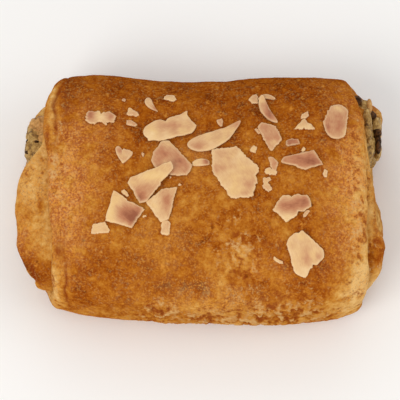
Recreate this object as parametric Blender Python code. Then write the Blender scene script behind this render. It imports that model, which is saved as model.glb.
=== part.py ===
"""A rolled breakfast pastry with an almond-paste and raisin filling, topped with flaked almonds.

One sheet of dough is rolled up twice round its own folded edge and a stick of filling. The inner turn and
the base stand out at both ends, where the outer turn has drawn back in baking. The pastry lies on its seam.
X runs along the roll, Y points to its back and Z up, with the origin in the middle of the base.
Sizes are in millimetres and become metres where a vertex is made. An angle about the roll is in turns:
0 is the back, 0.25 the top, 0.5 the front and 0.75 the base. Turns below 0 are the inner layer.
"""

import math
from bisect import bisect_right

import bmesh
import bpy
import numpy as np
from mathutils import Matrix, Vector, noise
from mathutils.bvhtree import BVHTree

MM = 0.001

# The roll's outer skin
HALF_DEPTH = 41.0
AXIS_HEIGHT = 21.0
TOP_RISE = 21.0
UNDER_DROP = 23.5  # more than the axis height, so the base is pressed flat
TOP_POWER = 2.4  # 2 is an ellipse, more is boxier
UNDER_POWER = 4.0
HALF_LENGTH = 60.0

# The sheet's layers, from the outside
WRAP = 7.0
TURN = 6.0
SLIT = 0.3  # between two layers that touch
CORE_INSET = WRAP + TURN + 2 * SLIT
SEAM = 0.89  # where the sheet's outer end lies, under the back edge
LAP = 0.20  # how much of a turn the sheet takes to climb over itself
BLUNT_END = 0.7  # thickness of the sheet's pressed ends

# The skin's unevenness along the roll
BACK_DIP = 1.9
DIP_REACH = 40.0
FRONT_FALL = 3.2
FRONT_CREST = 13.0
FALL_REACH = 50.0
FALL_TO_DIP = (-0.5, 0.8)  # where the front's fall gives way to the back's dip, in half depths
SHOULDER = 5.2
SHOULDER_START = 34.0
LUMPS = ((0.75, 17.0), (0.4, 7.5))  # height and spacing of the crust's lumps
LUMPS_FROM = 10.5  # above this the lumps are at their full height, and on the base there are none

# Where the sheet's two cut edges lie: turn, left edge, right edge
EDGES = (
    (-1.31, -57.0, 58.0),
    (-1.24, -57.2, 57.8),
    (-1.17, -57.2, 57.4),
    (-1.12, -57.2, 60.0),
    (-1.08, -57.4, 60.9),
    (-1.03, -54.6, 60.6),
    (-0.99, -51.0, 59.2),
    (-0.95, -50.4, 56.0),
    (-0.89, -50.8, 54.2),
    (-0.84, -51.2, 54.0),
    (-0.81, -54.4, 54.4),
    (-0.78, -57.4, 55.0),
    (-0.74, -59.1, 55.6),
    (-0.67, -59.0, 56.6),
    (-0.61, -58.6, 58.8),
    (-0.56, -56.2, 58.0),
    (-0.50, -53.6, 55.6),
    (-0.42, -53.2, 55.0),
    (-0.36, -54.8, 57.2),
    (-0.28, -59.0, 59.6),
    (-0.21, -59.4, 57.2),
    (-0.17, -59.2, 57.2),
    (-0.13, -57.8, 59.8),
    (-0.10, -56.0, 60.8),
    (-0.05, -52.0, 59.0),
    (0.00, -49.4, 52.0),
    (0.05, -46.6, 48.8),
    (0.09, -49.4, 50.8),
    (0.13, -50.6, 52.6),
    (0.18, -49.8, 53.0),
    (0.25, -48.6, 53.3),
    (0.36, -47.5, 53.4),
    (0.45, -47.2, 53.8),
    (0.52, -47.4, 52.4),
    (0.59, -50.2, 52.4),
    (0.63, -53.6, 55.0),
    (0.66, -56.8, 59.0),
    (0.69, -59.4, 60.6),
    (0.74, -60.3, 60.8),
    (0.80, -60.2, 57.8),
    (0.84, -59.6, 57.6),
    (0.89, -57.6, 60.6),
)
EDGE_ROUND = 3.0  # how far a cut edge swells out of the sheet
EDGE_POWER = 2.8

# The folded edge at the front of the core, and the filling behind it
FOLD_FRONT, FOLD_BACK = -28.0, 9.2
FOLD_ENDS = (-57.6, 57.0)
FOLD_CROWN = 4.5  # how far its ends are rounded
FOLD_INSET = 12.5  # less than the core's, so that the fold is baked onto the sheet round it
FILLING_FRONT, FILLING_BACK = 9.6, 26.6
FILLING_ENDS = (-57.4, 57.4)
FILLING_CROWN = 3.0
BLUNT = 0.4  # size of a bar's end face, beside the bar's own section

# Raisins in the filling's two ends: middles, and half sizes along X, Y and Z
RAISINS = (
    ((-56.5, 18.8, 22.8), (1.8, 2.0, 2.0)),
    ((-54.2, 17.8, 25.2), (1.9, 2.0, 1.8)),
    ((-56.3, 14.3, 20.8), (1.9, 2.3, 2.4)),
    ((-56.1, 21.8, 18.2), (1.8, 2.2, 2.1)),
    ((56.2, 23.4, 23.4), (2.2, 2.6, 2.8)),
    ((56.8, 17.6, 22.6), (2.3, 3.6, 2.6)),
    ((56.4, 12.9, 18.6), (1.7, 2.0, 2.4)),
    ((56.4, 20.6, 25.2), (1.5, 2.8, 1.6)),
)

# Flaked almonds, seen from above. Each row is the leaf's middle in X and Y, its heading in degrees, its
# length and width, its taper towards the heading, the sideways bend of its middle line, and its straight
# breaks: the way each faces, in degrees, and how far it lies from the middle.
# The slices lie loose on the crust, the fourth across the third.
SLICES = (
    (-9.5, 15.4, 16, 17.8, 9.4, 0.1, 0.6, ((106, 4.0), (-74, 3.8))),
    (5.0, 12.2, 29, 19.2, 6.2, -0.3, 1.6, ()),
    (-9.1, 3.8, -50, 14.8, 12.0, 0.0, 0.0, ((40, 3.8), (-92, 5.4), (157, 5.8))),
    (-16.0, -3.8, 46, 17.4, 12.0, 0.1, 0.0, ((111, 4.4), (-41, 3.0), (-151, 6.2))),
    (11.0, -0.2, -62, 21.0, 16.5, 0.0, 0.0,
     ((-147, 6.2), (180, 7.5), (-87, 9.3), (42, 6.3), (0, 7.2), (110, 8.2))),
    (-11.6, -10.9, 62, 13.6, 11.0, 0.1, 0.0, ((131, 3.8), (97, 4.5), (-14, 3.6), (-144, 4.4))),
    (-23.8, -13.2, -40, 15.5, 13.5, 0.0, 0.0, ((56, 3.6), (-35, 5.2), (-108, 4.8), (165, 5.2))),
    (44.0, 17.6, 80, 13.4, 9.0, 0.0, 0.0, ((-8, 3.1), (157, 3.9))),
    (22.6, 12.0, -68, 12.0, 7.8, -0.1, 0.0, ((-156, 2.5), (69, 3.9), (-39, 3.7))),
    (22.3, 23.5, -80, 13.4, 3.6, -0.1, 2.2, ()),
    (32.8, 3.0, 6, 14.4, 8.4, 0.15, 0.0, ((104, 3.0), (31, 4.8), (-66, 3.1), (-113, 3.1))),
    (29.0, -12.4, 12, 12.4, 10.4, 0.0, 0.0, ((88, 3.9), (-57, 3.1), (-134, 4.9), (147, 4.6))),
    (32.9, -26.8, -75, 14.0, 12.0, 0.0, 0.0, ((49, 4.8), (-163, 4.8), (-44, 4.2))),
    (-31.7, 19.3, -10, 10.6, 5.6, -0.25, 0.0, ((80, 2.2), (-85, 2.4), (175, 4.6))),
)
SLICE_CORNERS = 18
SLICE_THICKNESS = 1.2
SLICE_BEND = 0.75  # how much of the crust's roundness a slice follows
CLEARANCE = 0.6
LAYING_RINGS = (1.0, 0.85, 0.7, 0.55, 0.4, 0.2)  # where a slice is tried against what is below it

# Broken bits of almond baked into the crust, in the same terms. Some cross their neighbour.
CHIPS = (
    (-10.7, -19.0, -80, 4.4, 3.6, 0.2, 0.0, ((95, 1.3), (-92, 1.6))),
    (-31.9, -18.9, 22, 6.2, 4.8, 0.1, 0.0, ((-100, 1.9), (22, 2.4))),
    (-23.6, -7.4, -40, 3.4, 1.5, 0.0, 0.4, ()),
    (17.7, 26.5, 20, 4.6, 4.2, 0.4, 0.0, ((0, 1.1), (-100, 1.4))),
    (29.5, 9.6, 10, 5.6, 3.2, 0.2, 0.5, ()),
    (33.4, 16.4, -90, 6.4, 5.6, 0.6, 0.0, ((-90, 1.9),)),
    (33.9, 19.8, 35, 4.0, 2.2, 0.0, 0.0, ()),
    (-25.7, 7.0, -60, 5.2, 2.6, 0.0, 0.0, ()),
    (-23.4, 6.0, -115, 5.8, 3.2, -0.3, 0.0, ()),
    (-21.9, 21.2, -25, 5.0, 3.2, -0.3, 0.6, ()),
    (-22.1, 17.1, -15, 5.2, 1.9, 0.0, -0.4, ()),
    (-15.7, 24.4, -60, 6.6, 2.6, -0.6, 0.6, ()),
    (-9.7, 27.5, -10, 4.2, 3.6, 0.0, 0.0, ((-120, 1.4),)),
    (0.5, 2.8, 8, 5.0, 2.8, 0.0, 0.0, ((-60, 1.0),)),
    (6.7, 17.8, -75, 3.6, 1.5, 0.0, 0.0, ()),
    (17.0, 7.4, 60, 3.2, 2.2, -0.4, 0.0, ()),
    (23.2, 2.6, -58, 6.8, 2.4, 0.2, 0.4, ()),
    (22.7, -0.4, -30, 4.8, 2.6, 0.0, 0.0, ()),
    (21.0, -3.4, 35, 3.8, 2.2, 0.0, 0.0, ()),
    (21.3, -5.5, -60, 4.2, 2.8, 0.0, 0.0, ()),
    (39.8, -0.7, 80, 3.6, 1.7, 0.0, 0.0, ()),
)
CHIP_CORNERS = 12
CHIP_RISE = 0.8
CHIP_ROOT = 0.6
LEAST_SIDE = 0.35  # corners of a leaf closer than this become one
OVERHEAD = 80.0  # higher than everything

# How finely the solids are faceted
OUTER_STEP = 4.2
INNER_STEP = 6.5
SKIN_FACES = 30
INSIDE_FACES = 5
EDGE_FACES = 4
BAR_SIDES = 24
BAR_POWER = 3.0
BAR_PARTS = 4
CROWN_STEPS = 4

CRUST, CRUST_ROUGHNESS = (0.50, 0.22, 0.06), 0.45
PASTE, PASTE_ROUGHNESS = (0.30, 0.21, 0.10), 0.6
ALMOND, ALMOND_ROUGHNESS = (0.72, 0.48, 0.24), 0.5


def smooth(t):
    """Eases a share from 0 to 1."""
    t = min(max(t, 0.0), 1.0)
    return t * t * (3 - 2 * t)


def signed_power(value, power):
    return math.copysign(abs(value) ** power, value)


def superellipse(angle, across, rise, drop):
    """A point of the roll's outline about its axis, from its half width and its reach up and down."""
    c, s = math.cos(angle), math.sin(angle)
    power, reach = (TOP_POWER, rise) if s > 0 else (UNDER_POWER, drop)
    return across * signed_power(c, 2 / power), reach * signed_power(s, 2 / power)


def even_angles(first, samples=400):
    """Distances along half of the pressed outline, and their angles, so that a turn is spaced evenly."""
    points = []
    for i in range(samples + 1):
        angle = first + math.pi * i / samples
        y, z = superellipse(angle, HALF_DEPTH, TOP_RISE, UNDER_DROP)
        points.append((angle, y, max(z, -AXIS_HEIGHT)))
    distances = [0.0]
    for a, b in zip(points, points[1:]):
        distances.append(distances[-1] + math.dist(a[1:], b[1:]))
    return distances, [p[0] for p in points]


HALVES = (even_angles(0.0), even_angles(math.pi))
GIRTH = HALVES[0][0][-1] + HALVES[1][0][-1]


def angle_at(turn):
    """The outline's angle at a turn: a quarter turn is half of the upper or the lower half's length."""
    share = turn % 1.0
    distances, angles = HALVES[share >= 0.5]
    wanted = (share % 0.5) / 0.5 * distances[-1]
    i = min(bisect_right(distances, wanted), len(distances) - 1)
    low, high = distances[i - 1], distances[i]
    return angles[i - 1] + (angles[i] - angles[i - 1]) * (wanted - low) / (high - low)


def swell(x, y, z):
    """How far the outer skin stands out of its plain outline at a point."""
    dip = -BACK_DIP * math.cos(math.pi / 2 * min(abs(x) / DIP_REACH, 1)) ** 2
    fall = -FRONT_FALL * ((x - FRONT_CREST) / FALL_REACH) ** 2
    start, end = FALL_TO_DIP
    back = smooth((y / HALF_DEPTH - start) / (end - start))
    shoulder = -SHOULDER * (max(abs(x) - SHOULDER_START, 0) / (HALF_LENGTH - SHOULDER_START)) ** 2
    lumps = sum(height * noise.noise(Vector((x, y, z)) / spacing) for height, spacing in LUMPS)
    return back * dip + (1 - back) * fall + shoulder + lumps * smooth(z / LUMPS_FROM)


def layer_point(turn, inset, x):
    """A point of a layer's face, inset inside the outer skin. Deeper layers follow the skin's swell less."""
    angle = angle_at(turn)
    y, z = superellipse(angle, HALF_DEPTH, TOP_RISE, UNDER_DROP)
    out = swell(x, y, AXIS_HEIGHT + z) * (1 - inset / CORE_INSET) - inset
    y, z = superellipse(angle, HALF_DEPTH + out, TOP_RISE + out, UNDER_DROP - inset)
    return Vector((x, y, max(AXIS_HEIGHT + z, inset)))


def climb(turn):
    """1 on the outer layer, easing to 0 before the seam, where the sheet slips under its own end."""
    return smooth((turn - (SEAM - 1 - LAP)) / LAP)


def outer_inset(turn):
    """Depth of the sheet's outer face."""
    return (WRAP + SLIT) * (1 - climb(turn)) + (TURN + SLIT) * (1 - climb(turn + 1))


def inner_inset(turn):
    """Depth of the sheet's inner face, just outside the layer below it or the core."""
    return min(outer_inset(turn - 1), CORE_INSET) - SLIT


def edge_at(turn, side):
    """Where the sheet's left (side 1) or right (side 2) cut edge lies, on a smooth curve through EDGES."""
    turns = [row[0] for row in EDGES]
    i = min(max(bisect_right(turns, turn), 1), len(turns) - 1)
    rows = [EDGES[min(max(k, 0), len(EDGES) - 1)] for k in (i - 2, i - 1, i, i + 1)]
    a, b = rows[1], rows[2]
    t = min(max((turn - a[0]) / (b[0] - a[0]), 0), 1)
    gap = b[0] - a[0]
    slopes = [
        (high[side] - low[side]) / max(high[0] - low[0], 1e-6) * gap
        for low, high in ((rows[0], b), (a, rows[3]))
    ]
    t2, t3 = t * t, t * t * t
    return (
        (2 * t3 - 3 * t2 + 1) * a[side]
        + (t3 - 2 * t2 + t) * slopes[0]
        + (3 * t2 - 2 * t3) * b[side]
        + (t3 - t2) * slopes[1]
    )


def edge_profile():
    """Points round a cut edge: how far each lies back from the edge, and its share of the thickness."""
    arcs = [math.pi * i / EDGE_FACES for i in range(1, EDGE_FACES)]
    return [
        (1 - math.sin(arc) ** (2 / EDGE_POWER), (1 - signed_power(math.cos(arc), 2 / EDGE_POWER)) / 2)
        for arc in arcs
    ]


def sheet_ring(turn):
    """The sheet cut across at a turn: its outer face, right edge, inner face and left edge, as a loop."""
    outer, inner = outer_inset(turn), inner_inset(turn)
    left, right = edge_at(turn, 1), edge_at(turn, 2)
    bulge = EDGE_ROUND * min((inner - outer) / TURN, 1)
    loop = []

    def add(x, share):
        loop.append(layer_point(turn, outer + (inner - outer) * share, x))

    for i in range(SKIN_FACES + 1):
        add(left + bulge + (right - left - 2 * bulge) * i / SKIN_FACES, 0)
    for depth, share in edge_profile():
        add(right - bulge * depth, share)
    for i in range(INSIDE_FACES + 1):
        add(right - bulge - (right - left - 2 * bulge) * i / INSIDE_FACES, 1)
    for depth, share in reversed(edge_profile()):
        add(left + bulge * depth, share)
    return loop


def sheet_turns():
    """The turns at which the sheet is cut across, from its blunt inner end to its blunt outer end."""
    turns = []
    turn = SEAM - 2 - LAP
    while turn < SEAM:
        if inner_inset(turn) - outer_inset(turn) > BLUNT_END:
            turns.append(turn)
        turn += (OUTER_STEP if turn > SEAM - 1 - LAP else INNER_STEP) / GIRTH
    return turns


def core_reach(y, inset):
    """How high and how low the core is at y, for a face inset inside the outer skin."""
    share = min(abs(y) / (HALF_DEPTH - inset), 1.0)
    top = (TOP_RISE - inset) * (1 - share**TOP_POWER) ** (1 / TOP_POWER)
    drop = (UNDER_DROP - inset) * (1 - share**UNDER_POWER) ** (1 / UNDER_POWER)
    return AXIS_HEIGHT + top, max(AXIS_HEIGHT - drop, inset)


def bar_ring(x, front, back, inset, size):
    """A cut across a bar that fills the core from front to back, drawn in by size near the bar's ends."""
    loop = []
    middle, half = (front + back) / 2, (back - front) / 2
    for i in range(BAR_SIDES):
        angle = 2 * math.pi * i / BAR_SIDES
        y = middle + half * signed_power(math.cos(angle), 2 / BAR_POWER)
        top, bottom = core_reach(y, inset)
        share = 0.5 + 0.5 * signed_power(math.sin(angle), 2 / BAR_POWER)
        point = Vector((x, y, bottom + (top - bottom) * share))
        centre = Vector((x, middle, (core_reach(middle, inset)[0] + inset) / 2))
        loop.append(centre + (point - centre) * size)
    return loop


def bar_rings(front, back, inset, ends, crown):
    """Cuts across a bar of the core, whose two ends are crowned."""
    crowned = []
    for i in range(CROWN_STEPS):
        share = math.sin(math.pi / 2 * i / CROWN_STEPS)
        size = BLUNT + (1 - BLUNT) * math.sqrt(1 - (1 - share) ** 2)
        crowned.append((crown * share, size))
    stations = [(ends[0] + depth, size) for depth, size in crowned]
    span = ends[1] - ends[0] - 2 * crown
    stations += [(ends[0] + crown + span * i / BAR_PARTS, 1.0) for i in range(BAR_PARTS + 1)]
    stations += [(ends[1] - depth, size) for depth, size in reversed(crowned)]
    return [bar_ring(x, front, back, inset, size) for x, size in stations]


def skin(name, rings, material):
    """A closed solid through loops of points: its first end, drawn out from loop to loop."""
    mesh = bmesh.new()
    end = mesh.faces.new([mesh.verts.new(point * MM) for point in rings[0]])
    for ring in rings[1:]:
        end = bmesh.ops.extrude_discrete_faces(mesh, faces=[end])["faces"][0]
        for corner, point in zip(end.verts, ring):
            corner.co = point * MM
    bmesh.ops.holes_fill(mesh, edges=mesh.edges)
    bmesh.ops.triangulate(mesh, faces=[face for face in mesh.faces if len(face.verts) > 4])
    bmesh.ops.recalc_face_normals(mesh, faces=mesh.faces)
    return finished(name, mesh, material)


def finished(name, mesh, material):
    """An object in the scene from a bmesh, shaded smooth."""
    data = bpy.data.meshes.new(name)
    mesh.to_mesh(data)
    mesh.free()
    data.shade_smooth()
    data.materials.append(material)
    part = bpy.data.objects.new(name, data)
    bpy.context.scene.collection.objects.link(part)
    return part


def finish(name, colour, roughness):
    """A plain material for a part."""
    material = bpy.data.materials.new(name)
    material.use_nodes = True
    shader = material.node_tree.nodes["Principled BSDF"]
    shader.inputs["Base Color"].default_value = (*colour, 1)
    shader.inputs["Roughness"].default_value = roughness
    return material


def fuse(part, others, solver="EXACT"):
    """Joins other solids to a part with one Boolean union, and removes them."""
    group = bpy.data.collections.new("fused")
    bpy.context.scene.collection.children.link(group)
    for other in others:
        bpy.context.scene.collection.objects.unlink(other)
        group.objects.link(other)
    union = part.modifiers.new("union", "BOOLEAN")
    union.operation = "UNION"
    union.operand_type = "COLLECTION"
    union.collection = group
    union.solver = solver
    graph = bpy.context.evaluated_depsgraph_get()
    part.data = bpy.data.meshes.new_from_object(part.evaluated_get(graph))
    part.modifiers.clear()
    for other in others:
        bpy.data.objects.remove(other)
    bpy.data.collections.remove(group)


def tree_of(part):
    """A part's faces, for dropping points onto it."""
    return BVHTree.FromPolygons([v.co for v in part.data.vertices], [f.vertices for f in part.data.polygons])


def heights(points, grounds):
    """How high the highest thing lies below or above each point in X and Y."""
    found = []
    for x, y in points:
        start = Vector((x, y, OVERHEAD)) * MM
        hits = [ground.ray_cast(start, Vector((0, 0, -1)))[0] for ground in grounds]
        found.append(max(hit.z for hit in hits if hit) / MM)
    return np.array(found)


def break_off(points, middle, facing, distance):
    """What is left of a closed outline behind a straight break across it."""
    way = Vector((math.cos(facing), math.sin(facing)))
    kept = []
    for here, after in zip(points, points[1:] + points[:1]):
        a, b = ((point - middle).dot(way) - distance for point in (here, after))
        if a <= 0:
            kept.append(here)
        if (a < 0) != (b < 0) and a != b:
            kept.append(here.lerp(after, a / (a - b)))
    return kept


def leaf_outline(row, corners):
    """The outline of a sliced almond or of a broken bit of one, from its row of sizes."""
    x, y, heading, length, width, taper, bend, breaks = row
    middle = Vector((x, y))
    turned = Matrix.Rotation(math.radians(heading), 2)
    points = []
    for i in range(corners):
        angle = 2 * math.pi * (i + 0.5) / corners
        along, side = math.cos(angle), math.sin(angle)
        across = width / 2 * side * (1 + taper * along) + bend * (along**2 - 0.5)
        points.append(middle + turned @ Vector((length / 2 * along, across)))
    for facing, distance in breaks:
        points = break_off(points, middle, math.radians(facing), distance)
    return [p for p, before in zip(points, points[-1:] + points[:-1]) if (p - before).length > LEAST_SIDE]


def plane_through(points, levels):
    """The level plane that fits heights at points best, as a function of points."""
    fit = np.linalg.lstsq(np.column_stack((points, np.ones(len(points)))), levels, rcond=None)[0]
    return lambda where: where @ fit[:2] + fit[2]


def resting(outline, crust_top, others):
    """Height of a slice's underside: a stiff leaf laid on the crust and on other slices, clear of them."""
    corners = np.array(outline)
    middle = corners.mean(axis=0)
    spots = np.vstack([middle + (corners - middle) * size for size in LAYING_RINGS])
    crust = heights(spots, [crust_top])
    below = heights(spots, [crust_top, *others])
    tilt, slope = plane_through(spots, below), plane_through(spots, crust)

    def leaf(points):
        return tilt(points) + SLICE_BEND * (heights(points, [crust_top]) - slope(points))

    lift = (below - leaf(spots)).max() + CLEARANCE
    return lambda points: leaf(points) + lift


def plate(name, outline, spoke_cuts, floor_of, thickness, material):
    """A closed leaf over an outline, on the heights that floor_of gives."""
    mesh = bmesh.new()
    flat = mesh.faces.new([mesh.verts.new((*corner, 0)) for corner in outline])
    hub = bmesh.ops.poke(mesh, faces=[flat])["verts"][0]
    bmesh.ops.subdivide_edges(mesh, edges=hub.link_edges, cuts=spoke_cuts)
    drawn = bmesh.ops.extrude_face_region(mesh, geom=mesh.faces, use_keep_orig=True)["geom"]
    upper = [v for v in drawn if isinstance(v, bmesh.types.BMVert)]
    bmesh.ops.translate(mesh, vec=(0, 0, thickness), verts=upper)
    for vert, floor in zip(mesh.verts, floor_of(np.array([v.co.xy for v in mesh.verts]))):
        vert.co.z += floor
    bmesh.ops.scale(mesh, vec=(MM, MM, MM), verts=mesh.verts)
    bmesh.ops.recalc_face_normals(mesh, faces=mesh.faces)
    return finished(name, mesh, material)


def raisin(middle, half_sizes, material):
    """A plump raisin."""
    mesh = bmesh.new()
    bmesh.ops.create_icosphere(mesh, subdivisions=2, radius=1)
    bmesh.ops.scale(mesh, vec=Vector(half_sizes) * MM, verts=mesh.verts)
    bmesh.ops.translate(mesh, vec=Vector(middle) * MM, verts=mesh.verts)
    return finished("raisin", mesh, material)


def build():
    """Models the whole pastry."""
    for old in list(bpy.data.objects):
        bpy.data.objects.remove(old)
    crust = finish("baked_crust", CRUST, CRUST_ROUGHNESS)
    paste = finish("almond_paste", PASTE, PASTE_ROUGHNESS)
    almond = finish("flaked_almond", ALMOND, ALMOND_ROUGHNESS)

    dough = skin("dough", [sheet_ring(turn) for turn in sheet_turns()], crust)
    fold_rings = bar_rings(FOLD_FRONT, FOLD_BACK, FOLD_INSET, FOLD_ENDS, FOLD_CROWN)
    fuse(dough, [skin("fold", fold_rings, crust)])

    stick = bar_rings(FILLING_FRONT, FILLING_BACK, CORE_INSET + SLIT, FILLING_ENDS, FILLING_CROWN)
    filling = skin("filling", stick, paste)
    fuse(filling, [raisin(middle, half_sizes, paste) for middle, half_sizes in RAISINS])

    crust_top = tree_of(dough)

    def rooted(points):
        return heights(points, [crust_top]) - CHIP_ROOT

    outlines = [leaf_outline(row, CHIP_CORNERS) for row in CHIPS]
    chips = [plate("chip", outline, 0, rooted, CHIP_ROOT + CHIP_RISE, crust) for outline in outlines]
    fuse(dough, chips, "MANIFOLD")

    laid = []
    for i, row in enumerate(SLICES):
        outline = leaf_outline(row, SLICE_CORNERS)
        floor = resting(outline, crust_top, laid)
        leaf = plate(f"almond_slice_{i + 1}", outline, 1, floor, SLICE_THICKNESS, almond)
        laid.append(tree_of(leaf))


build()
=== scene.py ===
"""Looks of a rolled breakfast pastry: baked dough, almond-paste filling, raisins and flaked almonds.

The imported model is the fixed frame. Each of its nodes is replaced by finer pieces on the same shape.
X runs along the roll, Y points to its back and Z up. Sizes are in millimetres and become metres where a
vertex is made. An angle about the roll is in turns: 0 is the back, 0.25 the top, 0.5 the front and 0.75
the base. Turns below 0 are the inner layer of the rolled-up sheet.
"""

import logging
import math
from bisect import bisect_right
from dataclasses import dataclass
from enum import Enum
from functools import cached_property
from typing import Any, Callable, Optional, Sequence, Union

import bmesh
import bpy
import numpy as np
from mathutils import Matrix, Vector, noise
from mathutils.bvhtree import BVHTree
from numpy.typing import NDArray


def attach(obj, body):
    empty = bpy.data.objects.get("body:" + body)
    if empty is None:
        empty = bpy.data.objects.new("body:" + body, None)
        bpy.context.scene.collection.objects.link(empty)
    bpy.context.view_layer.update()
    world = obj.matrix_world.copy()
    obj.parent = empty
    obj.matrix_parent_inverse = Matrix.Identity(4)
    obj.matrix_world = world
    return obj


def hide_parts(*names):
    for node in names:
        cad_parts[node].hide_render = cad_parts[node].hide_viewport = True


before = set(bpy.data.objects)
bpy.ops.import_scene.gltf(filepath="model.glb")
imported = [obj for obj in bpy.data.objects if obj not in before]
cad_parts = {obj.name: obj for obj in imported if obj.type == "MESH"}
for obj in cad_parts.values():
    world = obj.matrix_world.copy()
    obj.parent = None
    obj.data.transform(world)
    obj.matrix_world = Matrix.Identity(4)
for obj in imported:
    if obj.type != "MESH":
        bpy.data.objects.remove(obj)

Numbers = NDArray[np.float64]
Colour = tuple[float, float, float]
log = logging.getLogger("pastry")

MM = 0.001
BODY = "root"

# Rays down onto the crust start this high
ABOVE_ALL = 80.0

# The sheet's layers from the outside, with its seam and its end's lap in turns
WRAP = 7.0
TURN = 6.0
SLIT = 0.3
CORE_INSET = WRAP + TURN + 2 * SLIT
SEAM = 0.89
LAP = 0.20
BLUNT_END = 0.5

# Where the sheet's two cut edges lie: turn, left edge, right edge
EDGES = (
    (-1.31, -57.0, 58.0),
    (-1.24, -57.2, 57.8),
    (-1.17, -57.2, 57.4),
    (-1.12, -57.2, 60.0),
    (-1.08, -57.4, 60.9),
    (-1.03, -54.6, 60.6),
    (-0.99, -51.0, 59.2),
    (-0.95, -50.4, 56.0),
    (-0.89, -50.8, 54.2),
    (-0.84, -51.2, 54.0),
    (-0.81, -54.4, 54.4),
    (-0.78, -57.4, 55.0),
    (-0.74, -59.1, 55.6),
    (-0.67, -59.0, 56.6),
    (-0.61, -58.6, 58.8),
    (-0.56, -56.2, 58.0),
    (-0.50, -53.6, 55.6),
    (-0.42, -53.2, 55.0),
    (-0.36, -54.8, 57.2),
    (-0.28, -59.0, 59.6),
    (-0.21, -59.4, 57.2),
    (-0.17, -59.2, 57.2),
    (-0.13, -57.8, 59.8),
    (-0.10, -56.0, 60.8),
    (-0.05, -52.0, 59.0),
    (0.00, -49.4, 52.0),
    (0.05, -46.6, 48.8),
    (0.09, -49.4, 50.8),
    (0.13, -50.6, 52.6),
    (0.18, -49.8, 53.0),
    (0.25, -48.6, 53.3),
    (0.36, -47.5, 53.4),
    (0.45, -47.2, 53.8),
    (0.52, -47.4, 52.4),
    (0.59, -50.2, 52.4),
    (0.63, -53.6, 55.0),
    (0.66, -56.8, 59.0),
    (0.69, -59.4, 60.6),
    (0.74, -60.3, 60.8),
    (0.80, -60.2, 57.8),
    (0.84, -59.6, 57.6),
    (0.89, -57.6, 60.6),
)
EDGE_ROUND = 3.0
EDGE_POWER = 2.8


def smooth(t: Any) -> Any:
    """Eases a share from 0 to 1."""
    t = np.clip(t, 0.0, 1.0)
    return t * t * (3 - 2 * t)


def signed_power(value: Numbers, power: float) -> Numbers:
    """Raises a value's size to a power and keeps its sign."""
    return np.sign(value) * np.abs(value) ** power


def hump(distance: Numbers, reach: float) -> Numbers:
    """A smooth hump, 1 where a distance is 0 and almost 0 from twice the reach."""
    return np.exp(-((distance / reach) ** 2))


def places_at(x: Any, y: Any, z: Any) -> Numbers:
    """Places with X, Y and Z on the last axis."""
    return np.stack(np.broadcast_arrays(x, y, z), axis=-1)


def noise_at(
    points: Numbers, spacing: float, stretch: Sequence[float] = (1, 1, 1), seed: float = 0
) -> Numbers:
    """Smooth noise.

    Args:
        points: places in millimetres, in an array whose last axis is X, Y and Z.
        spacing: distance between the noise's humps, in millimetres.
        stretch: how much longer the humps are along each axis.
        seed: shifts the noise, so that two noises differ.

    Returns:
        A value between about -1 and 1 for each place.
    """
    shifted = (points / (spacing * np.array(stretch)) + seed).reshape(-1, 3)
    return np.array([noise.noise(Vector(place)) for place in shifted]).reshape(points.shape[:-1])


@dataclass(frozen=True)
class Waves:
    """Uneven relief: its height, the spacing of its humps, how they are stretched, and its noise's seed."""

    height: float
    spacing: float
    stretch: tuple[float, float, float] = (1, 1, 1)
    seed: float = 0

    def at(self, places: Numbers) -> Numbers:
        """How high the relief is at places."""
        return self.height * noise_at(places, self.spacing, self.stretch, self.seed)


def heaped(waves: Sequence[Waves], places: Numbers) -> Numbers:
    """Several waves on top of one another, at places."""
    return sum(wave.at(places) for wave in waves)


def pointing(degrees: float) -> Numbers:
    """A step of 1 in X and Y, the way that an angle in degrees from the right points."""
    return np.array((math.cos(math.radians(degrees)), math.sin(math.radians(degrees))))


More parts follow.
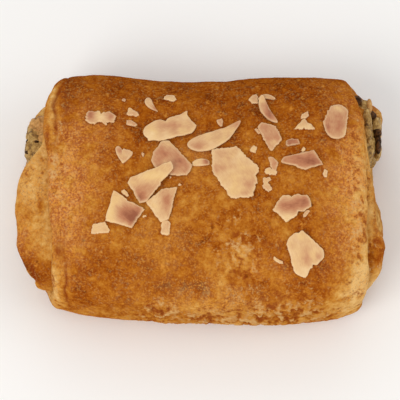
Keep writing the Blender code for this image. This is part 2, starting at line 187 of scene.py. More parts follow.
@dataclass(frozen=True)
class RollSection:
    """The pastry's outer skin: its outline across the roll, and its unevenness along the roll."""

    half_depth: float = 41.0
    axis_height: float = 21.0
    top_rise: float = 21.0
    under_drop: float = 23.5
    top_power: float = 2.4
    under_power: float = 4.0
    half_length: float = 60.0
    back_dip: float = 1.9
    dip_reach: float = 40.0
    front_fall: float = 3.2
    front_crest: float = 13.0
    fall_reach: float = 50.0
    fall_to_dip: tuple[float, float] = (-0.5, 0.8)
    shoulder: float = 5.2
    shoulder_start: float = 34.0
    lumps: tuple[Waves, ...] = (Waves(0.75, 17.0), Waves(0.4, 7.5))
    lumps_from: float = 10.5
    table_steps: int = 400

    def outline(self, angle: Numbers, across: Any, rise: Any, drop: Any) -> tuple[Numbers, Numbers]:
        """Points of the outline about the roll's axis.

        Args:
            angle: angles about the axis, in radians from the back.
            across: half the width there.
            rise: how far the upper half reaches up.
            drop: how far the lower half would reach down, if it weren't pressed flat.

        Returns:
            Each point's Y and its height above the axis.
        """
        c, s = np.cos(angle), np.sin(angle)
        power = np.where(s > 0, self.top_power, self.under_power)
        reach = np.where(s > 0, rise, drop)
        return (
            across * np.sign(c) * np.abs(c) ** (2 / power),
            reach * np.sign(s) * np.abs(s) ** (2 / power),
        )

    @cached_property
    def halves(self) -> tuple[tuple[Numbers, Numbers], ...]:
        """Distances along the upper and the lower half of the pressed outline, and their angles.

        Returns:
            For each half, a row of distances and a row of angles.
        """
        tables = []
        for first in (0.0, math.pi):
            angles = first + np.linspace(0, math.pi, self.table_steps + 1)
            y, z = self.outline(angles, self.half_depth, self.top_rise, self.under_drop)
            z = np.maximum(z, -self.axis_height)
            steps = np.hypot(np.diff(y), np.diff(z))
            tables.append((np.concatenate(([0.0], np.cumsum(steps))), angles))
        return tuple(tables)

    @cached_property
    def girth(self) -> float:
        """Length of the pressed outline."""
        return float(sum(distances[-1] for distances, _ in self.halves))

    def angle(self, turn: Numbers) -> Numbers:
        """The outline's angle at each turn, evenly spaced within the upper and the lower half.

        Args:
            turn: turns about the roll.

        Returns:
            Angles about the axis, in radians from the back.
        """
        share = turn % 1.0
        upper, lower = (
            np.interp((share % 0.5) * 2 * distances[-1], distances, angles)
            for distances, angles in self.halves
        )
        return np.where(share >= 0.5, lower, upper)

    def swell(self, x: Numbers, y: Numbers, z: Numbers) -> Numbers:
        """How far the outer skin stands out of its plain outline.

        Args:
            x: places along the roll.
            y: places across it.
            z: heights above the base.

        Returns:
            Millimetres outwards at each point.
        """
        dip = -self.back_dip * np.cos(math.pi / 2 * np.minimum(np.abs(x) / self.dip_reach, 1)) ** 2
        fall = -self.front_fall * ((x - self.front_crest) / self.fall_reach) ** 2
        start, end = self.fall_to_dip
        back = smooth((y / self.half_depth - start) / (end - start))
        beyond = np.maximum(np.abs(x) - self.shoulder_start, 0) / (self.half_length - self.shoulder_start)
        plain = back * dip + (1 - back) * fall - self.shoulder * beyond**2
        return plain + heaped(self.lumps, places_at(x, y, z)) * smooth(z / self.lumps_from)

    def layer_points(self, turn: Numbers, inset: Numbers, x: Numbers, relief: Any = 0.0) -> Numbers:
        """Points of a layer's face.

        Args:
            turn: turns about the roll.
            inset: depth inside the outer skin.
            x: places along the roll.
            relief: how far each point stands out of the plain face.

        Returns:
            Points in millimetres, with X, Y and Z on the last axis.
        """
        angle = self.angle(turn)
        y, z = self.outline(angle, self.half_depth, self.top_rise, self.under_drop)
        out = self.swell(x, y, self.axis_height + z) * (1 - inset / CORE_INSET) - inset + relief
        under = self.under_drop - inset + relief
        y, z = self.outline(angle, self.half_depth + out, self.top_rise + out, under)
        return places_at(x, y, np.maximum(self.axis_height + z, np.maximum(inset, 0)))

    def core_reach(self, y: Numbers, inset: float) -> tuple[Numbers, Numbers]:
        """How high and how low the core reaches.

        Args:
            y: places across the roll.
            inset: depth of the core's face inside the outer skin.

        Returns:
            The height of the core's top and of its bottom at each place.
        """
        share = np.minimum(np.abs(y) / (self.half_depth - inset), 1.0)
        top = (self.top_rise - inset) * (1 - share**self.top_power) ** (1 / self.top_power)
        drop = (self.under_drop - inset) * (1 - share**self.under_power) ** (1 / self.under_power)
        return self.axis_height + top, np.maximum(self.axis_height - drop, inset)


ROLL = RollSection()


def climb(turn: Numbers) -> Numbers:
    """1 on the outer layer, easing to 0 before the seam, where the sheet slips under its own end."""
    return smooth((turn - (SEAM - 1 - LAP)) / LAP)


def outer_inset(turn: Numbers) -> Numbers:
    """Depth of the sheet's outer face."""
    return (WRAP + SLIT) * (1 - climb(turn)) + (TURN + SLIT) * (1 - climb(turn + 1))


def inner_inset(turn: Numbers) -> Numbers:
    """Depth of the sheet's inner face, just outside the layer below it or the core."""
    return np.minimum(outer_inset(turn - 1), CORE_INSET) - SLIT


def edge_at(turn: float, side: int) -> float:
    """Where one cut edge of the sheet lies, on a smooth curve through EDGES.

    Args:
        turn: turn about the roll.
        side: 1 for the left edge and 2 for the right edge.

    Returns:
        The edge's X in millimetres.
    """
    turns = [row[0] for row in EDGES]
    i = min(max(bisect_right(turns, turn), 1), len(turns) - 1)
    rows = [EDGES[min(max(k, 0), len(EDGES) - 1)] for k in (i - 2, i - 1, i, i + 1)]
    a, b = rows[1], rows[2]
    gap = b[0] - a[0]
    t = min(max((turn - a[0]) / gap, 0), 1)
    start, end = (
        (high[side] - low[side]) / max(high[0] - low[0], 1e-6) * gap
        for low, high in ((rows[0], b), (a, rows[3]))
    )
    t2, t3 = t * t, t * t * t
    leaving = (2 * t3 - 3 * t2 + 1) * a[side] + (t3 - 2 * t2 + t) * start
    return leaving + (3 * t2 - 2 * t3) * b[side] + (t3 - t2) * end


class Shade:
    """One output of a material's node. Maths on shades is written as Python expressions."""

    def __init__(self, sheet: "NodeSheet", socket: bpy.types.NodeSocket) -> None:
        """Wraps a socket of the sheet of nodes that it belongs to."""
        self.sheet = sheet
        self.socket = socket

    def _maths(self, operation: str, *terms: "Link", clamp: bool = False) -> "Shade":
        """Adds a Math node on these terms."""
        settings = {"operation": operation, "use_clamp": clamp}
        return self.sheet.add("Math", settings, dict(enumerate(terms)))

    def __add__(self, other: "Link") -> "Shade":
        """This plus another."""
        return self._maths("ADD", self, other)

    def __sub__(self, other: "Link") -> "Shade":
        """This less another."""
        return self._maths("SUBTRACT", self, other)

    def __rsub__(self, other: "Link") -> "Shade":
        """Another less this."""
        return self._maths("SUBTRACT", other, self)

    def __mul__(self, other: "Link") -> "Shade":
        """This times another."""
        return self._maths("MULTIPLY", self, other)

    __radd__ = __add__
    __rmul__ = __mul__

    def clamped(self) -> "Shade":
        """This, kept between 0 and 1."""
        return self._maths("ADD", self, 0.0, clamp=True)

    def above(self, edge: float, reach: float) -> "Shade":
        """1 where this is well above an edge and 0 well below it, easing over a reach."""
        return self._maths("MULTIPLY", self - (edge - reach / 2), 1 / reach, clamp=True)

    def below(self, edge: float, reach: float) -> "Shade":
        """1 where this is well below an edge and 0 well above it, easing over a reach."""
        return self._maths("MULTIPLY", (edge + reach / 2) - self, 1 / reach, clamp=True)


Link = Union[Shade, float, tuple[float, ...]]


class NodeSheet:
    """A material's nodes, added one by one."""

    def __init__(self, name: str) -> None:
        """Starts a material with its Principled shader.

        Args:
            name: the material's name.
        """
        self.material = bpy.data.materials.new(name)
        self.material.use_nodes = True
        self.tree = self.material.node_tree
        self.shader = self.tree.nodes["Principled BSDF"]

    def add(self, kind: str, settings: dict[str, Any], inputs: dict[Any, Link], output: int = 0) -> Shade:
        """Adds a node.

        Args:
            kind: the node's type, without its ShaderNode prefix.
            settings: its properties, set before its sockets. A ramp's stops are pairs of place and colour.
            inputs: a value or a shade for each socket, by the socket's name or number.
            output: number of the output wanted.

        Returns:
            That output.
        """
        node = self.tree.nodes.new("ShaderNode" + kind)
        for key, value in settings.items():
            if key == "stops":
                elements = node.color_ramp.elements
                while len(elements) < len(value):
                    elements.new(1.0)
                for element, (place, colour) in zip(elements, value):
                    element.position = place
                    element.color = (*colour, 1)
            else:
                setattr(node, key, value)
        for key, value in inputs.items():
            self.connect(node.inputs[key], value)
        return Shade(self, node.outputs[output])

    def connect(self, socket: bpy.types.NodeSocket, value: Link) -> None:
        """Gives a socket a value or a link.

        Args:
            socket: the node's socket.
            value: a shade to link to it, or its own value.
        """
        if isinstance(value, Shade):
            self.tree.links.new(value.socket, socket)
        elif socket.type == "RGBA":
            socket.default_value = (*value, 1)
        else:
            socket.default_value = value

    def set(self, **values: Link) -> None:
        """Sets the shader's sockets, whose names are written with underscores."""
        for name, value in values.items():
            self.connect(self.shader.inputs[name.replace("_", " ")], value)

    def attribute(self, name: str) -> Shade:
        """A number painted on the piece's points."""
        return self.add("Attribute", {"attribute_name": name}, {}, output=2)

    def place(self, stretch: Sequence[float] = (1, 1, 1), source: str = "") -> Shade:
        """Places on the piece in millimetres.

        Args:
            stretch: how much longer a pattern is along each axis.
            source: name of a painted vector to use, or nothing for the object's own coordinates.

        Returns:
            A vector for a texture node.
        """
        if source:
            here = self.add("Attribute", {"attribute_name": source}, {}, output=1)
            scale = tuple(1 / s for s in stretch)
        else:
            here = self.add("TexCoord", {}, {}, output=3)
            scale = tuple(1 / MM / s for s in stretch)
        return self.add("Mapping", {"vector_type": "POINT"}, {"Vector": here, "Scale": scale})

    def noise(self, where: Shade, spacing: float, detail: float = 3, roughness: float = 0.55) -> Shade:
        """Cloudy noise between 0 and 1 with a spacing in millimetres."""
        values = {"Vector": where, "Scale": 1 / spacing, "Detail": detail, "Roughness": roughness}
        return self.add("TexNoise", {}, values)

    def cells(self, where: Shade, spacing: float) -> Shade:
        """Distance within cells whose spacing is in millimetres."""
        return self.add("TexVoronoi", {"feature": "F1"}, {"Vector": where, "Scale": 1 / spacing})

    def ramp(self, value: Link, stops: Sequence[tuple[float, Colour]]) -> Shade:
        """A colour from a number."""
        return self.add("ValToRGB", {"stops": stops}, {"Fac": value})

    def mix(self, share: Link, low: Link, high: Link) -> Shade:
        """One colour, and another where share is 1."""
        return self.add("Mix", {"data_type": "RGBA"}, {0: share, 6: low, 7: high}, output=2)

    def bump(self, height: Shade, size: float, under: Optional[Shade] = None) -> Shade:
        """A normal bent by a height between 0 and 1.

        Args:
            height: the height.
            size: what a height of 1 stands for, in millimetres.
            under: a normal to bend further, or nothing for the surface's own.

        Returns:
            The bent normal.
        """
        values: dict[Any, Link] = {"Height": height, "Distance": size * MM, "Strength": 1.0}
        if under is not None:
            values["Normal"] = under
        return self.add("Bump", {}, values)


def seen(red: float, green: float, blue: float) -> Colour:
    """A surface colour from the one that a picture shows.

    Args:
        red: its red, from 0 to 255.
        green: its green, from 0 to 255.
        blue: its blue, from 0 to 255.

    Returns:
        The colour, in even steps of light.
    """

    def straight(value: float) -> float:
        """One of the three values, in even steps of light."""
        share = value / 255
        return share / 12.92 if share <= 0.04045 else ((share + 0.055) / 1.055) ** 2.4

    return straight(red), straight(green), straight(blue)


class CrustNodes(NodeSheet):
    """The crust's nodes, with cloudy noise of four sizes, and how far and how the crust browned."""

    def __init__(self, name: str) -> None:
        """Starts the crust's material.

        Args:
            name: the material's name.
        """
        super().__init__(name)
        self.here = self.place()
        self.broad = self.noise(self.here, 9, 3)
        self.patch = self.noise(self.here, 4.2, 3, 0.6)
        self.mottle = self.noise(self.here, 2.1, 4, 0.6)
        self.grain = self.noise(self.here, 0.9, 3, 0.6)
        coarse = (self.broad - 0.5) * 0.75 + (self.patch - 0.5) * 0.5
        self.uneven = coarse + (self.mottle - 0.5) * 0.6 + (self.grain - 0.5) * 0.45
        painted = self.attribute("bake")
        self.bake = painted + self.uneven * (1.45 - painted * 0.7)
        tint = self.attribute("blush")
        self.blushed, self.dusted = tint.clamped(), (tint * -1.0).clamped()


@dataclass(frozen=True)
class BakedCrust:
    """Egg-washed dough, from pale where it was covered to dark where it browned most."""

    slot: str = "baked_crust"
    stops: tuple[tuple[float, Colour], ...] = (
        (0.00, seen(230, 186, 118)),
        (0.22, seen(216, 163, 88)),
        (0.45, seen(198, 134, 54)),
        (0.62, seen(178, 106, 30)),
        (0.78, seen(156, 80, 12)),
        (0.90, seen(138, 64, 6)),
        (1.00, seen(112, 46, 4)),
    )
    blush: Colour = seen(202, 126, 72)
    dust: Colour = seen(204, 150, 86)
    # Painted highlight: the colour of glints streaked over the reddish and dusty patches
    glint: Colour = seen(236, 180, 108)
    gold: Colour = seen(222, 148, 56)
    crumb: Colour = seen(222, 178, 108)
    crumb_dark: Colour = seen(178, 120, 54)
    # Painted shade: near black, for the insides of pits
    pit_shade: Colour = seen(92, 38, 10)
    # Dark reddish brown: real dark specks, and painted shade in creases and where flakes came off
    crease: Colour = seen(136, 58, 20)
    flake: Colour = seen(212, 168, 108)

    @cached_property
    def material(self) -> bpy.types.Material:
        """The material, made when it is first used."""
        nodes = CrustNodes(self.slot)
        skin = nodes.ramp(nodes.bake.clamped(), self.stops)
        skin = self.flaked(nodes, self.specked(nodes, self.tinted(nodes, skin)))
        cut = nodes.attribute("cut") * (nodes.mottle * 0.5 + 0.75)
        colour = nodes.mix(cut.clamped(), skin, self.cut_face(nodes, skin))
        rough = nodes.bump(nodes.mottle * 0.55 + nodes.grain * 0.45, 0.4)
        pores = nodes.bump(nodes.noise(nodes.here, 0.35, 1), 0.05, rough)
        matt = nodes.mottle * 0.25 + 0.38
        nodes.set(Base_Color=colour, Roughness=matt, Normal=pores, Specular_IOR_Level=0.0)
        return nodes.material

    def tinted(self, nodes: CrustNodes, skin: Shade) -> Shade:
        """Adds the reddish and the dusty patches, and streaks of painted highlight (glints) in both.

        Args:
            nodes: the crust's nodes.
            skin: the crust's colour so far.

        Returns:
            The colour with them.
        """
        reddish = nodes.blushed * nodes.patch.above(0.47, 0.16) * 0.7
        dusty = nodes.dusted * nodes.patch.above(0.5, 0.2) * (nodes.mottle + 0.1)
        skin = nodes.mix(dusty, nodes.mix(reddish, skin, self.blush), self.dust)
        # Painted highlight: glint streaks where the crust is reddish or dusty
        streak = nodes.noise(nodes.place((1, 1.5, 1.2)), 1.8, 4, 0.7)
        glint_highlight = streak.above(0.57, 0.16) * (nodes.blushed * 0.6 + nodes.dusted * 0.3)
        return nodes.mix(glint_highlight.clamped(), skin, self.glint)

    def specked(self, nodes: CrustNodes, skin: Shade) -> Shade:
        """Adds gold and dark specks, gold dabs, painted shade in pits and painted shade in the creases.

        Args:
            nodes: the crust's nodes.
            skin: the crust's colour so far.

        Returns:
            The colour with them.
        """
        speck = nodes.noise(nodes.here, 0.62, 2, 0.6)
        tint = (nodes.blushed + nodes.dusted).clamped()
        strength = (tint * 0.35 + 0.22) * (nodes.patch.above(0.42, 0.2) * 0.9 + 0.35)
        skin = nodes.mix((speck.above(0.58, 0.14) * strength * 1.4).clamped(), skin, self.gold)
        skin = nodes.mix(speck.below(0.41, 0.14) * strength * 0.9, skin, self.crease)
        dabs = nodes.cells(nodes.place((1.0, 1.6, 1.3)), 4.4).below(0.13, 0.1)
        skin = nodes.mix(dabs * nodes.grain.above(0.46, 0.08) * 0.5, skin, self.gold)
        # Painted shade: dark spots that stand for small pits in shadow
        pits = nodes.cells(nodes.here, 6.5).below(0.09, 0.08) * nodes.mottle.above(0.5, 0.08)
        skin = nodes.mix(pits * 0.6, skin, self.pit_shade)
        # Painted shade in the furrowed creases
        creased = nodes.attribute("crease") * (nodes.mottle + 0.4).clamped()
        return nodes.mix(creased, skin, self.crease)

    def flaked(self, nodes: CrustNodes, skin: Shade) -> Shade:
        """Adds pale flakes, and painted shade where flakes came off.

        Args:
            nodes: the crust's nodes.
            skin: the crust's colour so far.

        Returns:
            The colour with them.
        """
        flaky = nodes.attribute("flaky")
        ragged = flaky + (nodes.grain - 0.5) * 3.4
        clustered = nodes.patch.above(0.44, 0.2)
        flakes, gap_shade = flaky.above(0.0, 0.3) * clustered, flaky.below(0.0, 0.3) * clustered
        skin = nodes.mix(ragged.above(0.5, 0.9) * flakes * 0.85, skin, self.flake)
        # Painted shade where flakes came off
        return nodes.mix(ragged.below(-0.3, 0.7) * gap_shade * 0.75, skin, self.crease)

    def cut_face(self, nodes: CrustNodes, skin: Shade) -> Shade:
        """Colours the sheet's cut edges with fine lines of layers, which turn to skin where they browned.

        Args:
            nodes: the crust's nodes.
            skin: the crust's own colour.

        Returns:
            The colour of a cut edge.
        """
        lines = nodes.noise(nodes.place((3.2, 0.16, 1.4), "sheet"), 1.0, 2, 0.5)
        crumb = nodes.mix(lines.above(0.5, 0.3), self.crumb, self.crumb_dark)
        crumb = nodes.mix((nodes.uneven * 1.8 + 0.4).clamped() * 0.5, crumb, self.crumb_dark)
        return nodes.mix(nodes.bake.above(0.7, 0.4) * 0.85, crumb, skin)


@dataclass(frozen=True)
class BakedPaste:
    """Moist almond paste, greenish brown where it baked in the open."""

    slot: str = "almond_paste"
    name: str = "almond_paste"
    pale: Colour = seen(208, 172, 106)
    mid: Colour = seen(172, 132, 68)
    dark: Colour = seen(92, 58, 26)

    @cached_property
    def material(self) -> bpy.types.Material:
        """The material, made when it is first used."""
        nodes = NodeSheet(self.name)
        here = nodes.place()
        mottle = nodes.noise(here, 2.0, 4, 0.65)
        grain = nodes.noise(here, 0.8, 3)
        tone = (mottle - 0.5) * 2.6 + (grain - 0.5) * 1.3 + 0.5
        stops = ((0.0, self.pale), (0.5, self.mid), (1.0, self.dark))
        colour = nodes.ramp(tone.clamped(), stops)
        rough = nodes.bump(mottle * 0.6 + grain * 0.4, 0.45)
        nodes.set(Base_Color=colour, Roughness=0.55, Normal=rough, Specular_IOR_Level=0.25)
        return nodes.material


DRIED_PASTE = BakedPaste(
    name="dried_paste", pale=seen(214, 164, 98), mid=seen(188, 136, 74), dark=seen(126, 88, 38)
)


@dataclass(frozen=True)
class RaisinSkin:
    """A baked raisin's dark, creased skin."""

    slot: str = "almond_paste"
    dark: Colour = seen(48, 28, 12)
    edge: Colour = seen(104, 66, 32)

    @cached_property
    def material(self) -> bpy.types.Material:
        """The material, made when it is first used."""
        nodes = NodeSheet("raisin_skin")
        here = nodes.place()
        mottle = nodes.noise(here, 1.2, 3)
        colour = nodes.mix(mottle.above(0.52, 0.25), self.dark, self.edge)
        rough = nodes.bump(mottle, 0.3)
        nodes.set(Base_Color=colour, Roughness=mottle * 0.3 + 0.35, Normal=rough, Specular_IOR_Level=0.1)
        return nodes.material


@dataclass(frozen=True)
class SlicedAlmond:
    """An almond's cut face: ivory with a painted highlight along its rim, and pinkish brown where it roasted.
    """

    slot: str = "flaked_almond"
    stops: tuple[tuple[float, Colour], ...] = (
        (0.00, seen(240, 208, 160)),
        (0.25, seen(228, 188, 136)),
        (0.50, seen(208, 158, 112)),
        (0.75, seen(186, 122, 84)),
        (1.00, seen(148, 84, 54)),
    )
    yellow: Colour = seen(232, 188, 104)
    # Painted highlight along each leaf's rim
    rim: Colour = seen(240, 208, 160)

    @cached_property
    def material(self) -> bpy.types.Material:
        """The material, made when it is first used."""
        nodes = NodeSheet(self.slot)
        here = nodes.place()
        cloud = nodes.noise(here, 3.4, 3, 0.5)
        grain = nodes.noise(nodes.place((1.8, 0.4, 1), "leaf"), 1.0, 3)
        roasted = nodes.attribute("roast") + (cloud - 0.5) * 0.6 + (grain - 0.5) * 0.32
        colour = nodes.ramp(roasted.clamped(), self.stops)
        yellowed = nodes.noise(here, 6.5, 2).above(0.5, 0.2) * roasted.below(0.4, 0.3)
        colour = nodes.mix(yellowed * 0.35, colour, self.yellow)
        # Painted highlight: the lit rim of the leaf
        colour = nodes.mix(nodes.attribute("rim") * (cloud * 0.5 + 0.35), colour, self.rim)
        rough = nodes.bump(grain * 0.5 + cloud * 0.5, 0.14)
        nodes.set(Base_Color=colour, Roughness=0.48, Normal=rough, Specular_IOR_Level=0.3)
        return nodes.material


@dataclass(frozen=True)
class PaleFloor:
    """A matt pale table top."""

    colour: Colour = seen(246, 245, 243)

    @cached_property
    def material(self) -> bpy.types.Material:
        """The material, made when it is first used."""
        nodes = NodeSheet("pale_floor")
        nodes.set(Base_Color=self.colour, Roughness=0.9, Specular_IOR_Level=0.1)
        return nodes.material


def finished(name: str, mesh: bmesh.types.BMesh, finish: Any, replaces: str) -> bpy.types.Object:
    """A piece in the scene from a bmesh, in its finish and riding on the pastry.

    Args:
        name: the piece's name.
        mesh: its bmesh, in millimetres, which is freed.
        finish: the dataclass that makes its material.
        replaces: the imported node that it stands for.

    Returns:
        The object, whose mesh is in metres.
    """
    bmesh.ops.scale(mesh, vec=(MM, MM, MM), verts=mesh.verts)
    bmesh.ops.recalc_face_normals(mesh, faces=mesh.faces)
    data = bpy.data.meshes.new(name)
    mesh.to_mesh(data)
    mesh.free()
    data.shade_smooth()
    data.materials.append(finish.material)
    piece = bpy.data.objects.new(name, data)
    bpy.context.scene.collection.objects.link(piece)
    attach(piece, BODY)
    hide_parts(replaces)
    log.info("%s: %d faces", name, len(data.polygons))
    return piece


def paint(piece: bpy.types.Object, name: str, values: Numbers) -> None:
    """Paints a number or a vector on each point of a piece.

    Args:
        piece: the piece.
        name: the attribute's name.
        values: one number, or one row of three numbers, for each point.
    """
    kind, key = ("FLOAT", "value") if values.ndim == 1 else ("FLOAT_VECTOR", "vector")
    layer = piece.data.attributes.new(name, kind, "POINT")
    layer.data.foreach_set(key, values.astype(np.float32).ravel())


def tube(around: int, along: int) -> tuple[bmesh.types.BMesh, NDArray[np.int64], NDArray[np.int64]]:
    """A closed tube that is still to be shaped.

    Args:
        around: number of points round it.
        along: number of rings along it.

    Returns:
        Its bmesh, and for each point its number round the tube and its ring.
    """
    mesh = bmesh.new()
    bmesh.ops.create_cone(mesh, cap_ends=True, segments=around, radius1=1, radius2=1, depth=1)
    sides = [edge for edge in mesh.edges if abs(edge.verts[0].co.z - edge.verts[1].co.z) > 0.5]
    bmesh.ops.subdivide_edges(mesh, edges=sides, cuts=along - 2)
    places = np.array([vert.co for vert in mesh.verts])
    share = np.arctan2(places[:, 0], places[:, 1]) / (2 * math.pi)
    rounds = np.rint(share * around).astype(int) % around
    steps = np.rint((places[:, 2] + 0.5) * (along - 1)).astype(int)
    return mesh, rounds, steps


def shape(mesh: bmesh.types.BMesh, places: Numbers) -> None:
    """Moves each point of a bmesh to its place."""
    for vert, place in zip(mesh.verts, places):
        vert.co = place


def crease_ends(mesh: bmesh.types.BMesh) -> None:
    """Keeps a tube's flat ends from bending the shading of its sides.

    Args:
        mesh: the tube's bmesh.
    """
    for face in mesh.faces:
        if len(face.verts) > 4:
            for edge in face.edges:
                edge.smooth = False


@dataclass(frozen=True)
class Patch:
    """A browner or paler patch of crust: its middle, its reach and how much it adds."""

    x: float
    turn: float
    reach_x: float
    reach_round: float
    amount: float

    def at(self, turn: Numbers, x: Numbers) -> Numbers:
        """What the patch adds at places on the sheet."""
        along = hump(x - self.x, self.reach_x)
        return self.amount * along * hump((turn - self.turn) * ROLL.girth, self.reach_round)


@dataclass(frozen=True)
class Crease:
    """A crease along one cut edge, a furrow with painted shade in it: how far in from it, its middle and its
    sizes.

    Side is -1 for the left edge and 1 for the right one. Wander is the size and length of its bends.
    """

    side: int
    turn: float
    reach_round: float
    from_edge: float
    half_width: float
    depth: float
    wander: tuple[tuple[float, float], ...] = ((0.35, 3.1), (0.2, 1.3))

    def at(self, turn: Numbers, from_left: Numbers, from_right: Numbers) -> Numbers:
        """How deep the crease is at places on the sheet.

        Args:
            turn: turns about the roll.
            from_left: distances from the left edge.
            from_right: distances from the right edge.

        Returns:
            A share of the crease's full depth for each place.
        """
        apart = (from_left if self.side < 0 else from_right) - self.from_edge
        apart = apart + sum(size * np.sin(turn * ROLL.girth / length) for size, length in self.wander)
        return hump(apart, self.half_width) * hump((turn - self.turn) * ROLL.girth, self.reach_round)


@dataclass(frozen=True)
class SheetLength:
    """A length of the rolled-up sheet of dough, with its two cut edges."""

    name: str
    first: float
    last: float
    step: float
    skin_faces: int
    faces_near_edges: float
    width_near_edges: float
    bake: float
    browned: tuple[Patch, ...] = ()
    blushed: tuple[Patch, ...] = ()
    flaky: tuple[Patch, ...] = ()
    creases: tuple[Crease, ...] = ()
    flake_height: float = 0.34
    flake_folds: tuple[Waves, ...] = (Waves(1.0, 2.4, (1, 1.5, 2), 9), Waves(0.8, 1.0, (1, 1.4, 1.8), 4))
    flake_crumbs: Waves = Waves(0.45, 0.8, (1, 1.3, 1.6), 21)
    flake_levels: tuple[float, ...] = (0.04, -0.4)
    flake_ease: float = 0.3
    most_flaky: float = 1.2
    pebbles: tuple[Waves, ...] = (Waves(0.10, 2.4), Waves(0.06, 1.2, seed=5))
    edge_faces: int = 16
    inside_faces: int = 14
    ridges: Waves = Waves(0.28, 1.0)
    ridge_count: float = 5.0
    ridge_length: float = 9.0
    edges_apart: float = 7.0
    edge_waves: tuple[Waves, ...] = (Waves(0.7, 6.5, seed=3), Waves(0.12, 1.1, seed=8))
    foot: float = 3.0
    skin_depth: float = 0.3
    edge_calm: float = 0.6
    cut_from: float = 0.12
    cut_ease: float = 0.35
    cut_gain: float = 1.6

    def stations(self) -> tuple[Numbers, Numbers, Numbers]:
        """Points round a cut across the sheet.

        Returns:
            Each point's share of the way along the roll, its share of the sheet's thickness, and how far it
            reaches into the right (above 0) or the left (below 0) edge's roundness.
        """
        dense, near = self.faces_near_edges, self.width_near_edges
        even = np.linspace(0, 1, self.skin_faces + 1)
        skin = np.interp(even, (0, dense, 1 - dense, 1), (0, near, 1 - near, 1))
        inside = np.linspace(1, 0, self.inside_faces + 1)
        arcs = math.pi * np.arange(1, self.edge_faces) / self.edge_faces
        out = np.sin(arcs) ** (2 / EDGE_POWER)
        depth = (1 - signed_power(np.cos(arcs), 2 / EDGE_POWER)) / 2
        zeros, ones = np.zeros_like, np.ones_like
        along = np.concatenate((skin, ones(arcs), inside, zeros(arcs)))
        depths = np.concatenate((zeros(skin), depth, ones(inside), depth[::-1]))
        reach = np.concatenate((zeros(skin), out, zeros(inside), -out[::-1]))
        return along, depths, reach

    def flakes(self, places: Numbers, turn: Numbers, x: Numbers) -> Numbers:
        """Where the skin flakes up and where a flake has come off.

        Args:
            places: places on the plain skin.
            turn: their turns about the roll.
            x: their places along it.

        Returns:
            A number for each place, above 0 on a flake and below 0 where one came off.
        """
        strength = sum(patch.at(turn, x) for patch in self.flaky)
        folds = heaped(self.flake_folds, places)
        raised = sum(smooth((folds - level) / self.flake_ease) for level in self.flake_levels) - 1
        return np.minimum(strength, self.most_flaky) * (raised + self.flake_crumbs.at(places))

    def build(self, finish: BakedCrust) -> bpy.types.Object:
        """Makes the length of sheet and paints where it browned.

        Args:
            finish: the dough's finish.

        Returns:
            The piece.
        """
        count = int((self.last - self.first) * ROLL.girth / self.step)
        turns = np.linspace(self.first, self.last, count)
        turns = turns[inner_inset(turns) - outer_inset(turns) > BLUNT_END]
        along, depth, reach = self.stations()
        mesh, rounds, steps = tube(len(along), len(turns))
        crease_ends(mesh)

        turn = np.broadcast_to(turns[:, None], (len(turns), len(along)))
        left, right = (np.array([edge_at(t, side) for t in turns])[:, None] for side in (1, 2))
        outer, inner = outer_inset(turn), inner_inset(turn)
        bulge = EDGE_ROUND * np.minimum((inner - outer) / TURN, 1)
        inset = outer + (inner - outer) * depth
        x = left + bulge + (right - left - 2 * bulge) * along + bulge * reach
        plain = ROLL.layer_points(turn, inset, x)

        into = np.abs(reach)
        round_roll = turn * ROLL.girth
        ridged = (depth * self.ridge_count, round_roll / self.ridge_length, np.sign(reach) * self.edges_apart)
        layers = places_at(*ridged)
        x = x + reach * (self.ridges.at(layers) + heaped(self.edge_waves, plain))
        on_skin = (1 - smooth(depth / self.skin_depth)) * (1 - self.edge_calm * into)
        flaky = self.flakes(plain, turn, x)
        folded = {crease: crease.at(turn, x - left, right - x) for crease in self.creases}
        furrow = sum(crease.depth * share for crease, share in folded.items())
        relief = heaped(self.pebbles, plain) + self.flake_height * flaky - furrow
        relief = relief * on_skin * smooth(plain[..., 2] / self.foot)
        places = ROLL.layer_points(turn, inset, x, relief)
        shape(mesh, places[steps, rounds])

        piece = finished(self.name, mesh, finish, "dough")
        inner_face = depth > 0.99
        deep = smooth((depth - self.cut_from) / self.cut_ease)
        painted = {
            "bake": self.bake + sum(patch.at(turn, x) for patch in self.browned),
            "blush": sum(patch.at(turn, x) for patch in self.blushed),
            "flaky": flaky,
            # Where the crust gets painted shade in its creases
            "crease": sum(folded.values()),
            "cut": deep * smooth(into * self.cut_gain + inner_face),
        }
        for key, values in painted.items():
            paint(piece, key, np.broadcast_to(values, turn.shape)[steps, rounds])
        paint(piece, "sheet", places_at(round_roll, depth, x)[steps, rounds])
        return piece


